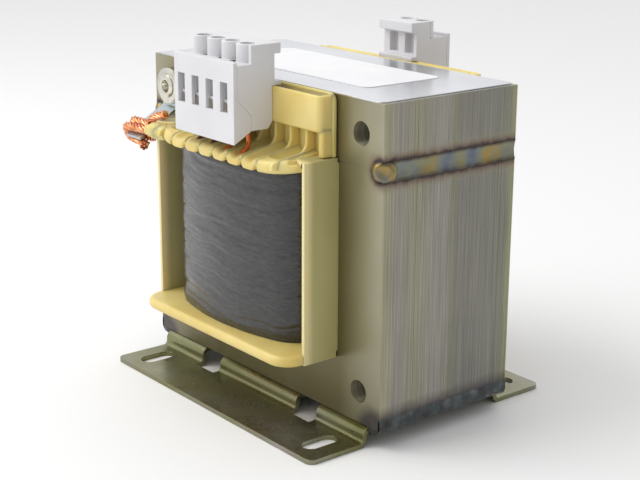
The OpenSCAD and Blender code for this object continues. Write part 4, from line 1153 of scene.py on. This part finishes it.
# --- Top: cover sheet and label ---
# A thin bright sheet lies on the upper yoke, and a plain paper label is stuck on it.

bright_sheet, tree, shader = new_finish("bright_sheet", (0.62, 0.64, 0.69), 0.22, 0.9)
cast = tones(
    tree, mottle(tree, 0.03, (1, 0.5, 1), shift=3.0), (0.35, (0.52, 0.54, 0.58)),
    (0.65, (0.72, 0.73, 0.77))
)
tree.links.new(cast, shader.inputs["Base Color"])
relief(tree, shader, mottle(tree, 0.05), 0.1, 0.5)
eased("top_sheet", "cover_sheet", bright_sheet, "sheet_steel", 0.05)
label_paper, tree, shader = new_finish("label_paper", (0.8, 0.8, 0.81), 0.5)
tree.links.new(
    tones(tree, mottle(tree, 0.1), (0.3, (0.78, 0.78, 0.8)), (0.7, (0.83, 0.83, 0.84))),
    shader.inputs["Base Color"]
)
relief(tree, shader, mottle(tree, 1.5, shift=2.0), 0.02, 0.3)
eased("rating_label", "label", label_paper, "label_paper", 0.03)

# --- Floor, light and camera ---
# A pale floor in a white tent that is brighter on the left, and a large soft lamp above.

floor_finish, tree, shader = new_finish("pale_floor", (0.9, 0.9, 0.9), 0.8)
skin = bmesh.new()
bmesh.ops.create_grid(skin, x_segments=8, y_segments=8, size=4.0)
mesh = bpy.data.meshes.new("floor")
skin.to_mesh(mesh)
skin.free()
mesh.materials.append(floor_finish)
floor = bpy.data.objects.new("floor", mesh)
floor.location.z = -0.02 * MM
bpy.context.scene.collection.objects.link(floor)

tent = bpy.data.worlds.new("tent")
bpy.context.scene.world = tent
tent.use_nodes = True
tree = tent.node_tree
ray = tree.nodes.new("ShaderNodeTexCoord")
split = tree.nodes.new("ShaderNodeSeparateXYZ")
tree.links.new(ray.outputs["Generated"], split.inputs[0])
glow = between(tree, split.outputs["Y"], -1.0, 0.3, 0.5, 1.0)
tree.links.new(glow, tree.nodes["Background"].inputs["Strength"])
tree.nodes["Background"].inputs["Color"].default_value = (1, 1, 1, 1)

lamp = bpy.data.lights.new("soft_lamp", "AREA")
lamp.shape = "RECTANGLE"
lamp.size = 0.5
lamp.size_y = 0.4
lamp.energy = 2.2
lamp_stand = bpy.data.objects.new("soft_lamp", lamp)
bpy.context.scene.collection.objects.link(lamp_stand)
lamp_stand.location = (-0.35, 0.25, 0.55)
lamp_stand.rotation_mode = "QUATERNION"
lamp_stand.rotation_quaternion = (lamp_stand.location - Vector((0, 0, 0.05))).to_track_quat("Z", "Y")

AZIMUTH = math.radians(51.201)
ELEVATION = math.radians(16.338)
ROLL = math.radians(0.2775)
target = spot(-1.8305, 0, 32.894)
back_way = spot(
    math.sin(AZIMUTH) * math.cos(ELEVATION), -math.cos(AZIMUTH) * math.cos(ELEVATION), math.sin(ELEVATION)
) - spot(0, 0, 0)
back_way = back_way.normalized()
camera = bpy.data.cameras.new("camera")
camera.lens = 78.75
camera.sensor_width = 36
camera.clip_start = 0.01
camera.clip_end = 50
view_from = bpy.data.objects.new("camera", camera)
bpy.context.scene.collection.objects.link(view_from)
view_from.location = target + back_way * 0.37819
view_from.rotation_mode = "QUATERNION"
view_from.rotation_quaternion = back_way.to_track_quat("Z", "Y") @ Matrix.Rotation(
    ROLL, 3, "Z"
).to_quaternion()
bpy.context.scene.camera = view_from
bpy.context.scene.view_settings.view_transform = "Standard"
